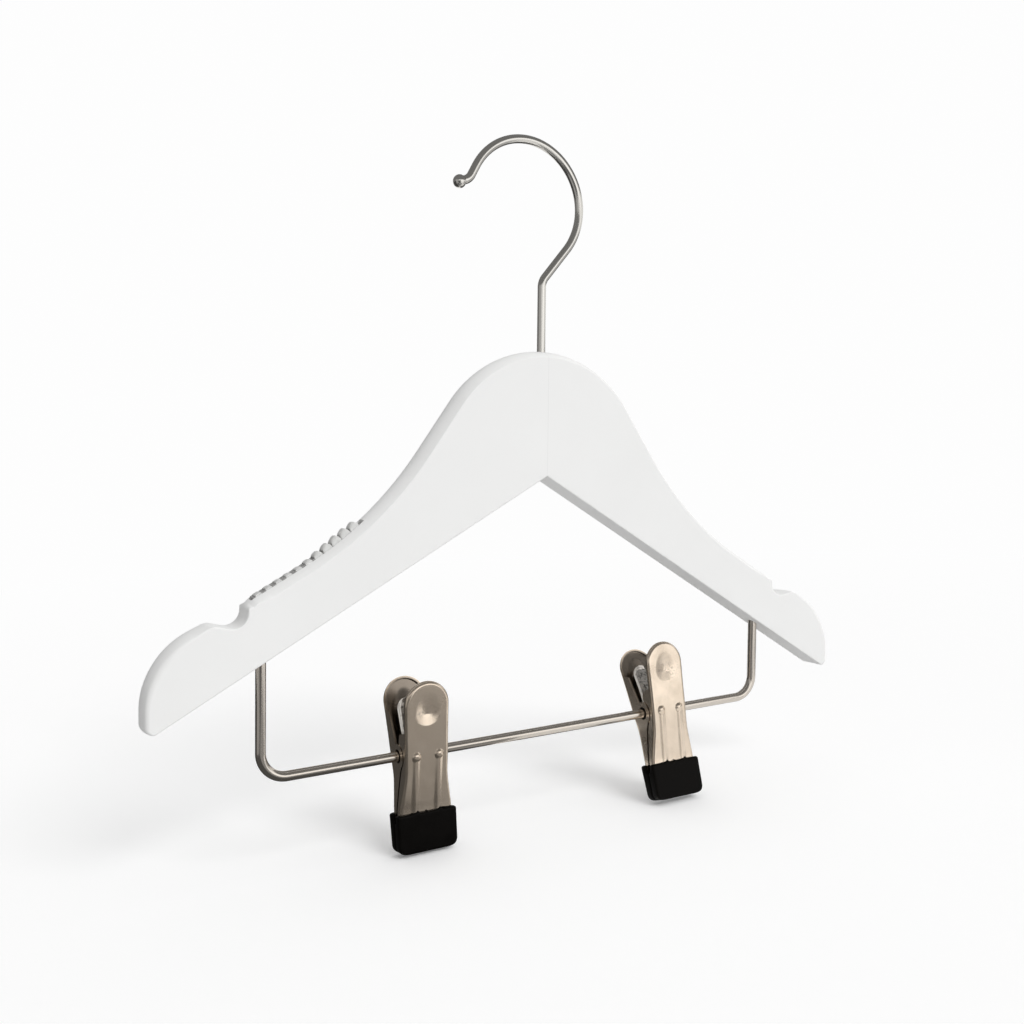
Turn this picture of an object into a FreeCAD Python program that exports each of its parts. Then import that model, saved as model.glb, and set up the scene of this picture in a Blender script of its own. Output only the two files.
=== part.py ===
import FreeCAD
import Part
import math
import os

# Clip hanger: two painted wooden arms glued at the middle, a wire hook that swivels in them,
# and a wire bar below that carries two sprung clips. All lengths are in millimetres.
# +X runs along the hanger, -Y is the front and +Z is up. The origin is where a rail bears
# inside the hook, on the axis of the hook's stem. Angles are in degrees.

V = FreeCAD.Vector
RIGHT = V(1, 0, 0)
BACK = V(0, 1, 0)
UP = V(0, 0, 1)
HERE = V(0, 0, 0)

# Shared fits
OVERRUN = 5.0
GLUE_CLEARANCE = 0.02
RUNNING_CLEARANCE = 0.05
SMALLEST_EDGE = 0.001

# Wooden arms
HANGER_WIDTH = 300.0
ARM_THICKNESS = 12.0
CROWN_HEIGHT = 48.0
CROWN_RADIUS = 39.0
FLANK_ANGLE = 55.0
NECK_RADIUS = 140.0
ARM_ANGLE = 30.0
ARM_DEPTH = 20.5
TIP_ANGLE = 15.0
TIP_CORNER_RADIUS = 3.6
TIP_ROUND_SHARE = 0.94
ARM_EDGE_RADIUS = 1.8

# Strap notch in each shoulder
NOTCH_TO_TIP = 33.8
NOTCH_WIDTH = 11.0
NOTCH_DEPTH = 9.0
NOTCH_FLOOR_RADIUS = 5.0
NOTCH_CORNER_RADIUS = 4.0
NOTCH_CORNER_DROP = 1.0
NOTCH_CORNER_ANGLE = 14.0
NOTCH_LIP_RADIUS = 6.0
NOTCH_LIP_DROP = 0.3
NOTCH_LIP_ANGLE = 10.0

# Hook
HOOK_WIRE_DIAMETER = 3.3
HOOK_LOOP_RADIUS = 24.2
HOOK_LOOP_OFFSET = 7.7
HOOK_LOOP_HEIGHT = 55.75
HOOK_STEM_HEIGHT = 24.9
HOOK_STEM_BEND_RADIUS = 6.0
HOOK_LOOP_END_ANGLE = 151.8
HOOK_LEAD_LENGTH = 4.1
HOOK_CURL_RADIUS = 4.8
HOOK_CURL_TURN = 41.3
HOOK_TAIL_LENGTH = 2.5
HOOK_BALL_DIAMETER = 5.0
HOOK_HEAD_DIAMETER = 5.6
HOOK_HEAD_HEIGHT = 2.0
HOOK_HEAD_CLEARANCE = 0.2
HOOK_STEM_CLEARANCE = 0.15

# Bush that carries the hook's stem inside the crown
BUSH_DIAMETER = 7.0
BUSH_LENGTH = 12.0
BUSH_COVER = 6.0

# Dowels across the glued joint
DOWEL_DIAMETER = 5.0
DOWEL_LENGTH = 28.0
DOWEL_COVER = 6.0
DOWEL_SPACING = 9.0
DOWEL_END_CLEARANCE = 0.8

# Grip strips let into the shoulders; the left one's upper end has sprung out of its groove
STRIP_LENGTH = 44.0
STRIP_WIDTH = 4.4
STRIP_PLACE = 2.6
STRIP_SPARE = 3.0
GROOVE_DEPTH = 2.2
STRIP_SINK = 0.4
NUB_COUNT = 11
NUB_RADIUS = 1.5
NUB_MARGIN = 0.2
NUB_RISE = 1.2
LEFT_STRIP_LIFT = 2.1
RIGHT_STRIP_LIFT = 0.0
LIFT_START_SHARE = 0.5
LIFT_LENGTH_SHARE = 0.25

# Bar that carries the clips, with its right end a little higher
BAR_WIRE_DIAMETER = 3.7
BAR_DROP = 100.4
BAR_TILT = 2.47
POST_TO_TIP = 40.0
BAR_BEND_RADIUS = 9.0
POST_SEAT = 14.0
POST_END_CLEARANCE = 0.5

# Clips: their places along the bar and how far each hangs forward of upright
LEFT_CLIP_PLACE = -50.3
RIGHT_CLIP_PLACE = 60.0
LEFT_CLIP_TILT = 5.0
RIGHT_CLIP_TILT = 17.5

# Stamped jaws of a clip, measured from the bar's axis
JAW_SHEET = 0.8
HANDLE_HEIGHT = 27.5
HANDLE_SPREAD = 24.5
PIVOT_SPREAD = 15.5
SHIN_SPREAD = 6.6
TOE_SPREAD = 5.0
SHIN_DROP = 20.5
TOE_DROP = 34.3
PIVOT_BEND_RADIUS = 30.0
SHIN_BEND_RADIUS = 20.0
HANDLE_WIDTH = 17.6
WAIST_WIDTH = 17.2
WAIST_RISE = 8.0
WAIST_DROP = 8.0
FOOT_WIDTH = 21.2
WAIST_RADIUS = 30.0
FOOT_RADIUS = 10.0
FOOT_CORNER_RADIUS = 2.0

# Rolled rim, side flanges and ears of a jaw
RIM_DEPTH = 1.8
FLANGE_TOP = 11.0
FLANGE_SHOULDER_RISE = 7.0
FLANGE_SHOULDER_PLACE = 3.0
FLANGE_PARTING = 0.35
FLANGE_FOOT_CLEARANCE = 0.7
EAR_RADIUS = 4.6
EAR_ROUND_CLEARANCE = 0.4
EAR_SIDE_CLEARANCE = 0.2

# Thumb dish and stiffening beads pressed into a jaw
DISH_PLACE = 17.5
DISH_RADIUS = 6.2
DISH_DEPTH = 1.4
BEAD_PLACE = 4.5
BEAD_RADIUS = 2.0
BEAD_RISE = 0.9
BEAD_LAP = 1.0

# Bush of a clip, which turns the ears and slides on the bar
CLIP_BUSH_WALL = 0.6
CLIP_BUSH_RIM_RISE = 0.5
CLIP_BUSH_RIM_THICKNESS = 0.5
CLIP_BUSH_END_PLAY = 0.1

# Flat spring of a clip
SPRING_THICKNESS = 0.7
SPRING_WIDTH = 10.0
SPRING_HEIGHT = 20.0
SPRING_CORNER_RADIUS = 3.0
SPRING_CLEARANCE = 0.3

# Soft tips of a clip
TIP_PAD_WIDTH = 23.6
TIP_PAD_DROP = 35.5
TIP_PAD_WALL = 1.2
TIP_PAD_GAP = 0.1
TIP_PAD_THROAT = 1.5
TIP_PAD_THROAT_HEIGHT = 3.5
TIP_PAD_CORNER_RADIUS = 3.0
TIP_PAD_TOP_RADIUS = 1.2
TIP_PAD_EDGE_RADIUS = 0.8

# Sizes that follow from those above
half_width = HANGER_WIDTH / 2
notch_place = half_width - NOTCH_TO_TIP
post_place = half_width - POST_TO_TIP
half_thickness = ARM_THICKNESS / 2
hook_wire_radius = HOOK_WIRE_DIAMETER / 2
bar_wire_radius = BAR_WIRE_DIAMETER / 2
loop_inside_radius = HOOK_LOOP_RADIUS - hook_wire_radius
crown_z = -HOOK_LOOP_HEIGHT - math.sqrt(loop_inside_radius ** 2 - HOOK_LOOP_OFFSET ** 2)
apex_z = crown_z - CROWN_HEIGHT
bar_z = apex_z - BAR_DROP
arm_slope = math.tan(math.radians(ARM_ANGLE))
bush_top_z = crown_z - BUSH_COVER
bush_low_z = bush_top_z - BUSH_LENGTH
head_top_z = bush_low_z - HOOK_HEAD_CLEARANCE
head_low_z = head_top_z - HOOK_HEAD_HEIGHT
pocket_low_z = head_low_z - HOOK_HEAD_CLEARANCE
clip_bush_bore = bar_wire_radius + RUNNING_CLEARANCE
clip_bush_radius = clip_bush_bore + CLIP_BUSH_WALL
waist_half = WAIST_WIDTH / 2


def heading(angle):
    """Unit vector in the hanger's plane, at an angle from +X towards +Z."""
    return V(math.cos(math.radians(angle)), 0, math.sin(math.radians(angle)))


def rounded_path(corners, closed):
    """Lines and tangent arcs through corners, each a point and a radius, with zero for a sharp corner."""
    spans = []
    last = len(corners) - 1
    for index, (point, radius) in enumerate(corners):
        if radius == 0 or (not closed and index in (0, last)):
            spans.append((point, None, point))
            continue
        to_before = (corners[index - 1][0] - point).normalize()
        to_after = (corners[(index + 1) % len(corners)][0] - point).normalize()
        half_angle = to_before.getAngle(to_after) / 2
        reach = radius / math.tan(half_angle)
        middle = point + (to_before + to_after).normalize() * (radius / math.sin(half_angle) - radius)
        spans.append((point + to_before * reach, middle, point + to_after * reach))
    edges = []
    for index, (begin, middle, finish) in enumerate(spans):
        if middle is not None:
            edges.append(Part.Arc(begin, middle, finish).toShape())
        following = spans[(index + 1) % len(spans)][0]
        if (closed or index < last) and finish.distanceToPoint(following) > SMALLEST_EDGE:
            edges.append(Part.LineSegment(finish, following).toShape())
    return edges


def prism(corners, reach):
    """Solid of a closed rounded outline, carried equally far to both sides along a vector."""
    face = Part.Face(Part.Wire(rounded_path(corners, True)))
    face.translate(reach * -1)
    return face.extrude(reach * 2)


def cylinder(radius, begin, finish):
    """Round bar between two points."""
    return Part.makeCylinder(radius, begin.distanceToPoint(finish), begin, finish - begin)


def wire_rod(edges, radius):
    """Round wire along a path of tangent lines and arcs."""
    path = Part.Wire(edges)
    begin = path.Edges[0]
    direction = begin.tangentAt(begin.FirstParameter)
    section = Part.Wire(Part.makeCircle(radius, begin.valueAt(begin.FirstParameter), direction))
    return path.makePipeShell([section], True, False)


def underside_z(x):
    """Height of an arm's straight lower edge."""
    return apex_z - x * arm_slope


def shoulder_z(x):
    """Height of the shoulder line, parallel to the lower edge."""
    return underside_z(x) + ARM_DEPTH / math.cos(math.radians(ARM_ANGLE))


def neck_corner():
    """Where the crown's flank would meet the shoulder line without its rounding."""
    flank_slope = math.tan(math.radians(FLANK_ANGLE))
    flank_top_x = CROWN_RADIUS * math.tan(math.radians(FLANK_ANGLE) / 2)
    x = (crown_z + flank_slope * flank_top_x - shoulder_z(0)) / (flank_slope - arm_slope)
    return V(x, 0, shoulder_z(x))


def arm_outline():
    """Corners of the right arm's outline before its notch is cut."""
    crown_corner = V(CROWN_RADIUS * math.tan(math.radians(FLANK_ANGLE) / 2), 0, crown_z)
    lip_x = notch_place + NOTCH_WIDTH
    lip = V(lip_x, 0, shoulder_z(lip_x))
    tip_fall = (half_width - lip_x) * math.tan(math.radians(TIP_ANGLE))
    tip_top = V(half_width, 0, lip.z - tip_fall)
    tip_low = V(half_width, 0, underside_z(half_width))
    low_half_angle = math.radians(90 - ARM_ANGLE) / 2
    side_left = tip_top.z - tip_low.z - TIP_CORNER_RADIUS / math.tan(low_half_angle)
    tip_half_angle = math.radians(90 + TIP_ANGLE) / 2
    tip_reach = TIP_ROUND_SHARE * min(side_left, lip.distanceToPoint(tip_top))
    return [
        (V(0, 0, apex_z), 0),
        (V(0, 0, crown_z), 0),
        (crown_corner, CROWN_RADIUS),
        (neck_corner(), NECK_RADIUS),
        (lip, 0),
        (tip_top, tip_reach * math.tan(tip_half_angle)),
        (tip_low, TIP_CORNER_RADIUS),
    ]


def notch_cut():
    """Strap notch: a wall, a round floor that rises to a soft lip, and eased ends."""
    wall_top = V(notch_place, 0, shoulder_z(notch_place) - NOTCH_CORNER_DROP)
    floor = V(notch_place, 0, shoulder_z(notch_place) - NOTCH_DEPTH)
    lip_x = notch_place + NOTCH_WIDTH
    lip = V(lip_x, 0, shoulder_z(lip_x) - NOTCH_LIP_DROP)
    wall_way = heading(180 - ARM_ANGLE - NOTCH_CORNER_ANGLE)
    lip_way = heading(NOTCH_LIP_ANGLE - TIP_ANGLE)
    above = UP * (NOTCH_DEPTH + OVERRUN)
    wall_end = wall_top + wall_way * NOTCH_DEPTH
    lip_end = lip + lip_way * NOTCH_DEPTH
    corners = [
        (wall_end + above, 0),
        (wall_end, 0),
        (wall_top, NOTCH_CORNER_RADIUS),
        (floor, NOTCH_FLOOR_RADIUS),
        (lip, NOTCH_LIP_RADIUS),
        (lip_end, 0),
        (lip_end + above, 0),
    ]
    return prism(corners, BACK * (half_thickness + OVERRUN))


def shoulder_straight():
    """Length of the shoulder's straight stretch, from the notch up to where the neck curves."""
    notch = V(notch_place, 0, shoulder_z(notch_place))
    neck_turn = math.radians(FLANK_ANGLE - ARM_ANGLE)
    return notch.distanceToPoint(neck_corner()) - NECK_RADIUS * math.tan(neck_turn / 2)


def shoulder_point(along, rise):
    """Point a way up the right shoulder from its notch and a height above the wood, and its outward way."""
    start = V(notch_place, 0, shoulder_z(notch_place))
    straight = shoulder_straight()
    uphill = heading(180 - ARM_ANGLE)
    outward = heading(90 - ARM_ANGLE)
    if along <= straight:
        return start + uphill * along + outward * rise, outward
    centre = start + uphill * straight + outward * NECK_RADIUS
    swing = ARM_ANGLE + math.degrees((along - straight) / NECK_RADIUS)
    outward = heading(90 - swing)
    return centre - outward * (NECK_RADIUS - rise), outward


def shoulder_line(begin, finish, rise):
    """Edges along the shoulder at a height: a line, then an arc where the neck curves."""
    straight = shoulder_straight()
    edges = []
    if begin < straight:
        line_end = shoulder_point(min(finish, straight), rise)[0]
        edges.append(Part.LineSegment(shoulder_point(begin, rise)[0], line_end).toShape())
    if finish > straight:
        bend = max(begin, straight)
        places = (bend, (bend + finish) / 2, finish)
        edges.append(Part.Arc(*[shoulder_point(along, rise)[0] for along in places]).toShape())
    return edges


def shoulder_band(begin, finish, low, high, width):
    """Solid along the shoulder between two heights, following its line and its curve."""
    ends = []
    for along in (begin, finish):
        low_point = shoulder_point(along, low)[0]
        ends.append(Part.LineSegment(low_point, shoulder_point(along, high)[0]).toShape())
    edges = shoulder_line(begin, finish, low) + shoulder_line(begin, finish, high) + ends
    face = Part.Face(Part.Wire(Part.__sortEdges__(edges)))
    face.translate(BACK * (-width / 2))
    return face.extrude(BACK * width)


def nub_rise(share, lift):
    """Height of a nub above the wood, a share of the way up a strip whose upper end is lifted."""
    lifted_share = min(max((share - LIFT_START_SHARE) / LIFT_LENGTH_SHARE, 0), 1)
    return NUB_RISE + lift * math.sin(math.pi / 2 * lifted_share)


def arch(foot, top, side, reach):
    """Round-topped block from a foot to a top, a side wide each way, carried to both sides by a reach."""
    radius = side.Length
    return prism([(foot - side, 0), (foot + side, 0), (top + side, radius), (top - side, radius)], reach)


def grip_strip(lift):
    """Soft strip in the right shoulder's groove, with a row of domed nubs and its upper end lifted."""
    begin = STRIP_PLACE
    low = GLUE_CLEARANCE - GROOVE_DEPTH
    strip = shoulder_band(begin, begin + STRIP_LENGTH, low, -STRIP_SINK, STRIP_WIDTH)
    across = BACK * (STRIP_WIDTH / 2 - NUB_MARGIN)
    nubs = []
    for index in range(NUB_COUNT):
        share = (index + 1 / 2) / NUB_COUNT
        top, outward = shoulder_point(begin + share * STRIP_LENGTH, nub_rise(share, lift))
        foot = shoulder_point(begin + share * STRIP_LENGTH, -(GROOVE_DEPTH + STRIP_SINK) / 2)[0]
        along = outward.cross(BACK) * NUB_RADIUS
        nubs.append(arch(foot, top, along, across).common(arch(foot, top, across, along)))
    return strip.fuse(nubs).removeSplitter()


def hook_pocket():
    """Space inside the crown for the hook's stem, its bush and its head."""
    stem = cylinder(hook_wire_radius + HOOK_STEM_CLEARANCE, V(0, 0, bush_top_z), V(0, 0, crown_z + OVERRUN))
    pocket = cylinder(BUSH_DIAMETER / 2 + GLUE_CLEARANCE, V(0, 0, pocket_low_z), V(0, 0, bush_top_z))
    return stem.fuse(pocket)


def dowel_heights():
    """Heights of the two dowels, below the hook's pocket."""
    first = pocket_low_z - DOWEL_COVER
    return [first, first - DOWEL_SPACING]


def dowels(radius, length):
    """The pair of dowels across the joint, or their holes."""
    reach = RIGHT * (length / 2)
    return [cylinder(radius, V(0, 0, z) - reach, V(0, 0, z) + reach) for z in dowel_heights()]


def bar_point(x):
    """Point on the bar's axis, which rises to the right."""
    return V(x, 0, bar_z + x * math.tan(math.radians(BAR_TILT)))


def post_top_z():
    """Height of the bar's ends, inside the arms."""
    return underside_z(post_place) + POST_SEAT


def right_arm():
    """One wooden arm with its notch, groove, joint face and holes."""
    block = prism(arm_outline(), BACK * half_thickness)
    rims = []
    for edge in block.Edges:
        box = edge.BoundBox
        if box.YLength < SMALLEST_EDGE and box.XMax > SMALLEST_EDGE:
            rims.append(edge)
    arm = block.makeFillet(ARM_EDGE_RADIUS, rims)
    groove_end = STRIP_PLACE + STRIP_LENGTH + STRIP_SPARE
    groove_width = STRIP_WIDTH + 2 * GLUE_CLEARANCE
    groove = shoulder_band(STRIP_PLACE - GLUE_CLEARANCE, groove_end, -GROOVE_DEPTH, OVERRUN, groove_width)
    post_end = V(post_place, 0, post_top_z() + POST_END_CLEARANCE)
    post_mouth = V(post_place, 0, underside_z(post_place) - OVERRUN)
    post_hole = cylinder(bar_wire_radius + GLUE_CLEARANCE, post_mouth, post_end)
    dowel_holes = dowels(DOWEL_DIAMETER / 2 + GLUE_CLEARANCE, DOWEL_LENGTH + 2 * DOWEL_END_CLEARANCE)
    return arm.cut([notch_cut(), groove, post_hole, hook_pocket()] + dowel_holes)


def hook():
    """Bent wire: head, stem, loop, outward curl and ball, with its stem on the origin's axis."""
    loop_centre = V(-HOOK_LOOP_OFFSET, 0, crown_z + HOOK_LOOP_HEIGHT)
    bend_start = V(0, 0, crown_z + HOOK_STEM_HEIGHT)
    bend_centre = bend_start + RIGHT * HOOK_STEM_BEND_RADIUS
    between = loop_centre - bend_centre
    crossing = math.asin((HOOK_STEM_BEND_RADIUS + HOOK_LOOP_RADIUS) / between.Length)
    slant = math.degrees(math.atan2(between.z, between.x) - crossing)
    bend_end = bend_centre + heading(slant + 90) * HOOK_STEM_BEND_RADIUS
    bend_middle = bend_centre + heading((slant + 90 + 180) / 2) * HOOK_STEM_BEND_RADIUS
    loop_start = loop_centre + heading(slant - 90) * HOOK_LOOP_RADIUS
    loop_middle = loop_centre + heading((slant - 90 + HOOK_LOOP_END_ANGLE) / 2) * HOOK_LOOP_RADIUS
    loop_end = loop_centre + heading(HOOK_LOOP_END_ANGLE) * HOOK_LOOP_RADIUS
    lead_angle = HOOK_LOOP_END_ANGLE + 90
    curl_start = loop_end + heading(lead_angle) * HOOK_LEAD_LENGTH
    curl_centre = curl_start + heading(lead_angle - 90) * HOOK_CURL_RADIUS
    curl_middle = curl_centre + heading(lead_angle + 90 - HOOK_CURL_TURN / 2) * HOOK_CURL_RADIUS
    curl_end = curl_centre + heading(lead_angle + 90 - HOOK_CURL_TURN) * HOOK_CURL_RADIUS
    ball = curl_end + heading(lead_angle - HOOK_CURL_TURN) * HOOK_TAIL_LENGTH
    edges = [
        Part.LineSegment(V(0, 0, head_low_z), bend_start).toShape(),
        Part.Arc(bend_start, bend_middle, bend_end).toShape(),
        Part.LineSegment(bend_end, loop_start).toShape(),
        Part.Arc(loop_start, loop_middle, loop_end).toShape(),
        Part.LineSegment(loop_end, curl_start).toShape(),
        Part.Arc(curl_start, curl_middle, curl_end).toShape(),
        Part.LineSegment(curl_end, ball).toShape(),
    ]
    rod = wire_rod(edges, hook_wire_radius)
    head = cylinder(HOOK_HEAD_DIAMETER / 2, V(0, 0, head_low_z), V(0, 0, head_top_z))
    return rod.fuse([head, Part.makeSphere(HOOK_BALL_DIAMETER / 2, ball)])


def hook_bush():
    """Metal tube glued into the crown, in which the hook turns."""
    outside = cylinder(BUSH_DIAMETER / 2, V(0, 0, bush_low_z), V(0, 0, bush_top_z))
    bore = cylinder(
        hook_wire_radius + RUNNING_CLEARANCE, V(0, 0, bush_low_z - OVERRUN), V(0, 0, bush_top_z + OVERRUN)
    )
    return outside.cut(bore)


def clip_bar():
    """Wire bar bent up at both ends into posts that are glued into the arms."""
    corners = [
        (V(-post_place, 0, post_top_z()), 0),
        (bar_point(-post_place), BAR_BEND_RADIUS),
        (bar_point(post_place), BAR_BEND_RADIUS),
        (V(post_place, 0, post_top_z()), 0),
    ]
    return wire_rod(rounded_path(corners, False), bar_wire_radius)


def jaw_profile(shift):
    """Side view of a front jaw's outer face, moved back by a distance."""
    return [
        (V(0, shift - HANDLE_SPREAD / 2, HANDLE_HEIGHT), 0),
        (V(0, shift - PIVOT_SPREAD / 2, 0), PIVOT_BEND_RADIUS),
        (V(0, shift - SHIN_SPREAD / 2, -SHIN_DROP), SHIN_BEND_RADIUS),
        (V(0, shift - TOE_SPREAD / 2, -TOE_DROP), 0),
    ]


def jaw_layer(near, far):
    """Everything between the jaw's outer face moved back by two distances, wider than the jaw."""
    front = rounded_path(jaw_profile(near), False)
    rear = rounded_path(jaw_profile(far), False)
    ends = []
    for corner in (0, -1):
        ends.append(Part.LineSegment(jaw_profile(near)[corner][0], jaw_profile(far)[corner][0]).toShape())
    face = Part.Face(Part.Wire(Part.__sortEdges__(front + rear + ends)))
    reach = RIGHT * FOOT_WIDTH
    face.translate(reach * -1)
    return face.extrude(reach * 2)


def jaw_outline(inset):
    """Front view of a jaw: a round handle, a waist and a wider foot, drawn in by an inset."""
    lobe = HANDLE_WIDTH / 2 - inset
    waist = waist_half - inset
    foot = FOOT_WIDTH / 2 - inset
    top = HANDLE_HEIGHT - inset
    right_side = [
        (V(foot, 0, -TOE_DROP), FOOT_CORNER_RADIUS),
        (V(foot, 0, -SHIN_DROP), FOOT_RADIUS),
        (V(waist, 0, -WAIST_DROP), WAIST_RADIUS),
        (V(waist, 0, WAIST_RISE), 0),
        (V(lobe, 0, top - lobe), 0),
        (V(lobe, 0, top), lobe),
    ]
    left_side = [(V(-point.x, 0, point.z), radius) for point, radius in reversed(right_side)]
    return prism(right_side + left_side, BACK * HANDLE_SPREAD)


def ear_disc(radius, begin, finish):
    """Disc about the pivot between two places along it."""
    return cylinder(radius, V(begin, 0, 0), V(finish, 0, 0))


def flange_region(inside):
    """Side view of a front jaw's flange: from its face back to the parting line, cut away above the pivot."""
    foot = -SHIN_DROP + FLANGE_FOOT_CLEARANCE
    handle_lean = (HANDLE_SPREAD - PIVOT_SPREAD) / 2 / HANDLE_HEIGHT
    shin_lean = (PIVOT_SPREAD - SHIN_SPREAD) / 2 / SHIN_DROP
    top_face = -PIVOT_SPREAD / 2 - handle_lean * FLANGE_TOP + inside
    foot_face = -PIVOT_SPREAD / 2 - shin_lean * foot + inside
    corners = [
        (V(0, top_face, FLANGE_TOP), 0),
        (V(0, -FLANGE_SHOULDER_PLACE, FLANGE_SHOULDER_RISE), 0),
        (V(0, -FLANGE_PARTING, -FLANGE_PARTING), 0),
        (V(0, -FLANGE_PARTING, foot), 0),
        (V(0, foot_face, foot), 0),
        (V(0, -PIVOT_SPREAD / 2 + inside, 0), 0),
    ]
    return prism(corners, RIGHT * FOOT_WIDTH)


def handle_rim(rim):
    """Rolled rim round the handle, from the flanges' tops upwards."""
    foot = FLANGE_TOP - JAW_SHEET
    corners = [
        (V(0, -HANDLE_SPREAD, foot), 0),
        (V(0, HANDLE_SPREAD, foot), 0),
        (V(0, HANDLE_SPREAD, HANDLE_HEIGHT), 0),
        (V(0, -HANDLE_SPREAD, HANDLE_HEIGHT), 0),
    ]
    return rim.common(jaw_layer(JAW_SHEET / 2, RIM_DEPTH)).common(prism(corners, RIGHT * FOOT_WIDTH))


def dish_bulge(layer):
    """Thumb dish: the ball that is cut from the face, and the wall that it pushes out behind."""
    ball_radius = (DISH_RADIUS ** 2 + DISH_DEPTH ** 2) / (2 * DISH_DEPTH)
    handle = V(0, -(HANDLE_SPREAD - PIVOT_SPREAD) / 2, HANDLE_HEIGHT)
    foot = V(0, -PIVOT_SPREAD / 2, 0)
    place = foot + handle * (DISH_PLACE / HANDLE_HEIGHT)
    outward = handle.cross(RIGHT).normalize() * -1
    centre = place + outward * (ball_radius - DISH_DEPTH)
    hollow = Part.makeSphere(ball_radius, centre)
    wall = Part.makeSphere(ball_radius + JAW_SHEET, centre).common(layer)
    return hollow, wall


def bead_line(side):
    """Ends of a stiffening bead's axis, sunk behind the jaw's face."""
    sink = BEAD_RADIUS - BEAD_RISE
    top = V(side * BEAD_PLACE, sink - PIVOT_SPREAD / 2, 0)
    foot = V(side * BEAD_PLACE, sink - SHIN_SPREAD / 2, -SHIN_DROP)
    return top, foot + (foot - top).normalize() * BEAD_LAP


def bead_rod(side, radius):
    """Round-ended rod along a bead's axis."""
    top, foot = bead_line(side)
    return cylinder(radius, top, foot).fuse([Part.makeSphere(radius, top), Part.makeSphere(radius, foot)])


def front_jaw():
    """Stamped jaw about a pivot at the origin: face, flanges, one outer and one inner ear, dish and beads."""
    outline = jaw_outline(0)
    face = jaw_layer(0, JAW_SHEET).common(outline)
    rim = outline.cut(jaw_outline(JAW_SHEET))
    flanges = rim.common(flange_region(JAW_SHEET / 2))
    ear_rim = ear_disc(EAR_RADIUS, waist_half - JAW_SHEET, waist_half)
    ear_space = ear_disc(EAR_RADIUS + EAR_ROUND_CLEARANCE, -waist_half - OVERRUN, -waist_half + JAW_SHEET)
    inner_face = -waist_half + JAW_SHEET + EAR_SIDE_CLEARANCE
    inner_ear = ear_disc(EAR_RADIUS, inner_face, inner_face + JAW_SHEET)
    tab_depth = PIVOT_SPREAD / 2 - JAW_SHEET / 2
    tab = Part.makeBox(JAW_SHEET, tab_depth, 2 * EAR_RADIUS, V(inner_face, -tab_depth, -EAR_RADIUS))
    tab = tab.common(jaw_layer(JAW_SHEET / 2, PIVOT_SPREAD))
    hollow, wall = dish_bulge(jaw_layer(JAW_SHEET / 2, JAW_SHEET + DISH_RADIUS))
    beads = [bead_rod(side, BEAD_RADIUS) for side in (-1, 1)]
    channels = [bead_rod(side, BEAD_RADIUS - JAW_SHEET) for side in (-1, 1)]
    proud = jaw_layer(-BEAD_RADIUS, JAW_SHEET)
    walls = [handle_rim(rim), flanges.cut(ear_space), ear_rim, inner_ear, tab, wall]
    jaw = face.fuse(walls + [bead.common(proud) for bead in beads])
    bore = ear_disc(clip_bush_radius + RUNNING_CLEARANCE, -FOOT_WIDTH, FOOT_WIDTH)
    return jaw.cut([hollow, bore] + channels).removeSplitter()


def front_tip(jaw):
    """Soft cap over a jaw's foot, thicker on the side that grips."""
    half = TIP_PAD_WIDTH / 2
    front_view = prism(
        [
            (V(-half, 0, -TIP_PAD_DROP), TIP_PAD_CORNER_RADIUS),
            (V(half, 0, -TIP_PAD_DROP), TIP_PAD_CORNER_RADIUS),
            (V(half, 0, -SHIN_DROP), TIP_PAD_TOP_RADIUS),
            (V(-half, 0, -SHIN_DROP), TIP_PAD_TOP_RADIUS),
        ],
        BACK * HANDLE_SPREAD,
    )
    side_view = prism(
        [
            (V(0, -SHIN_SPREAD / 2 - TIP_PAD_WALL, -SHIN_DROP), 0),
            (V(0, -TIP_PAD_THROAT, -SHIN_DROP), 0),
            (V(0, -TIP_PAD_GAP, -SHIN_DROP - TIP_PAD_THROAT_HEIGHT), 0),
            (V(0, -TIP_PAD_GAP, -TIP_PAD_DROP), 0),
            (V(0, -TOE_SPREAD / 2 - TIP_PAD_WALL, -TIP_PAD_DROP), 0),
        ],
        RIGHT * TIP_PAD_WIDTH,
    )
    block = front_view.common(side_view)
    front_y = block.BoundBox.YMin
    rims = []
    for edge in block.Edges:
        middle = edge.valueAt((edge.FirstParameter + edge.LastParameter) / 2)
        if middle.y < (front_y - TIP_PAD_GAP) / 2:
            rims.append(edge)
    return block.makeFillet(TIP_PAD_EDGE_RADIUS, rims).cut(jaw)


def clip_bush():
    """Tube on the bar, with rims that keep the ears together."""
    rim_start = waist_half + CLIP_BUSH_END_PLAY
    end = rim_start + CLIP_BUSH_RIM_THICKNESS
    rim_radius = clip_bush_radius + CLIP_BUSH_RIM_RISE
    tube = ear_disc(clip_bush_radius, -end, end)
    rims = [ear_disc(rim_radius, -end, -rim_start), ear_disc(rim_radius, rim_start, end)]
    return tube.fuse(rims).cut(ear_disc(clip_bush_bore, -FOOT_WIDTH, FOOT_WIDTH)).removeSplitter()


def spring_side(radius, lean):
    """Side view of one face of the spring: two leaning legs joined by a round bend about the pivot."""
    leg_top = radius / math.cos(lean) + SPRING_HEIGHT * math.tan(lean)
    return [
        (V(0, -leg_top, SPRING_HEIGHT), 0),
        (V(0, 0, -radius / math.sin(lean)), radius),
        (V(0, leg_top, SPRING_HEIGHT), 0),
    ]


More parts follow.
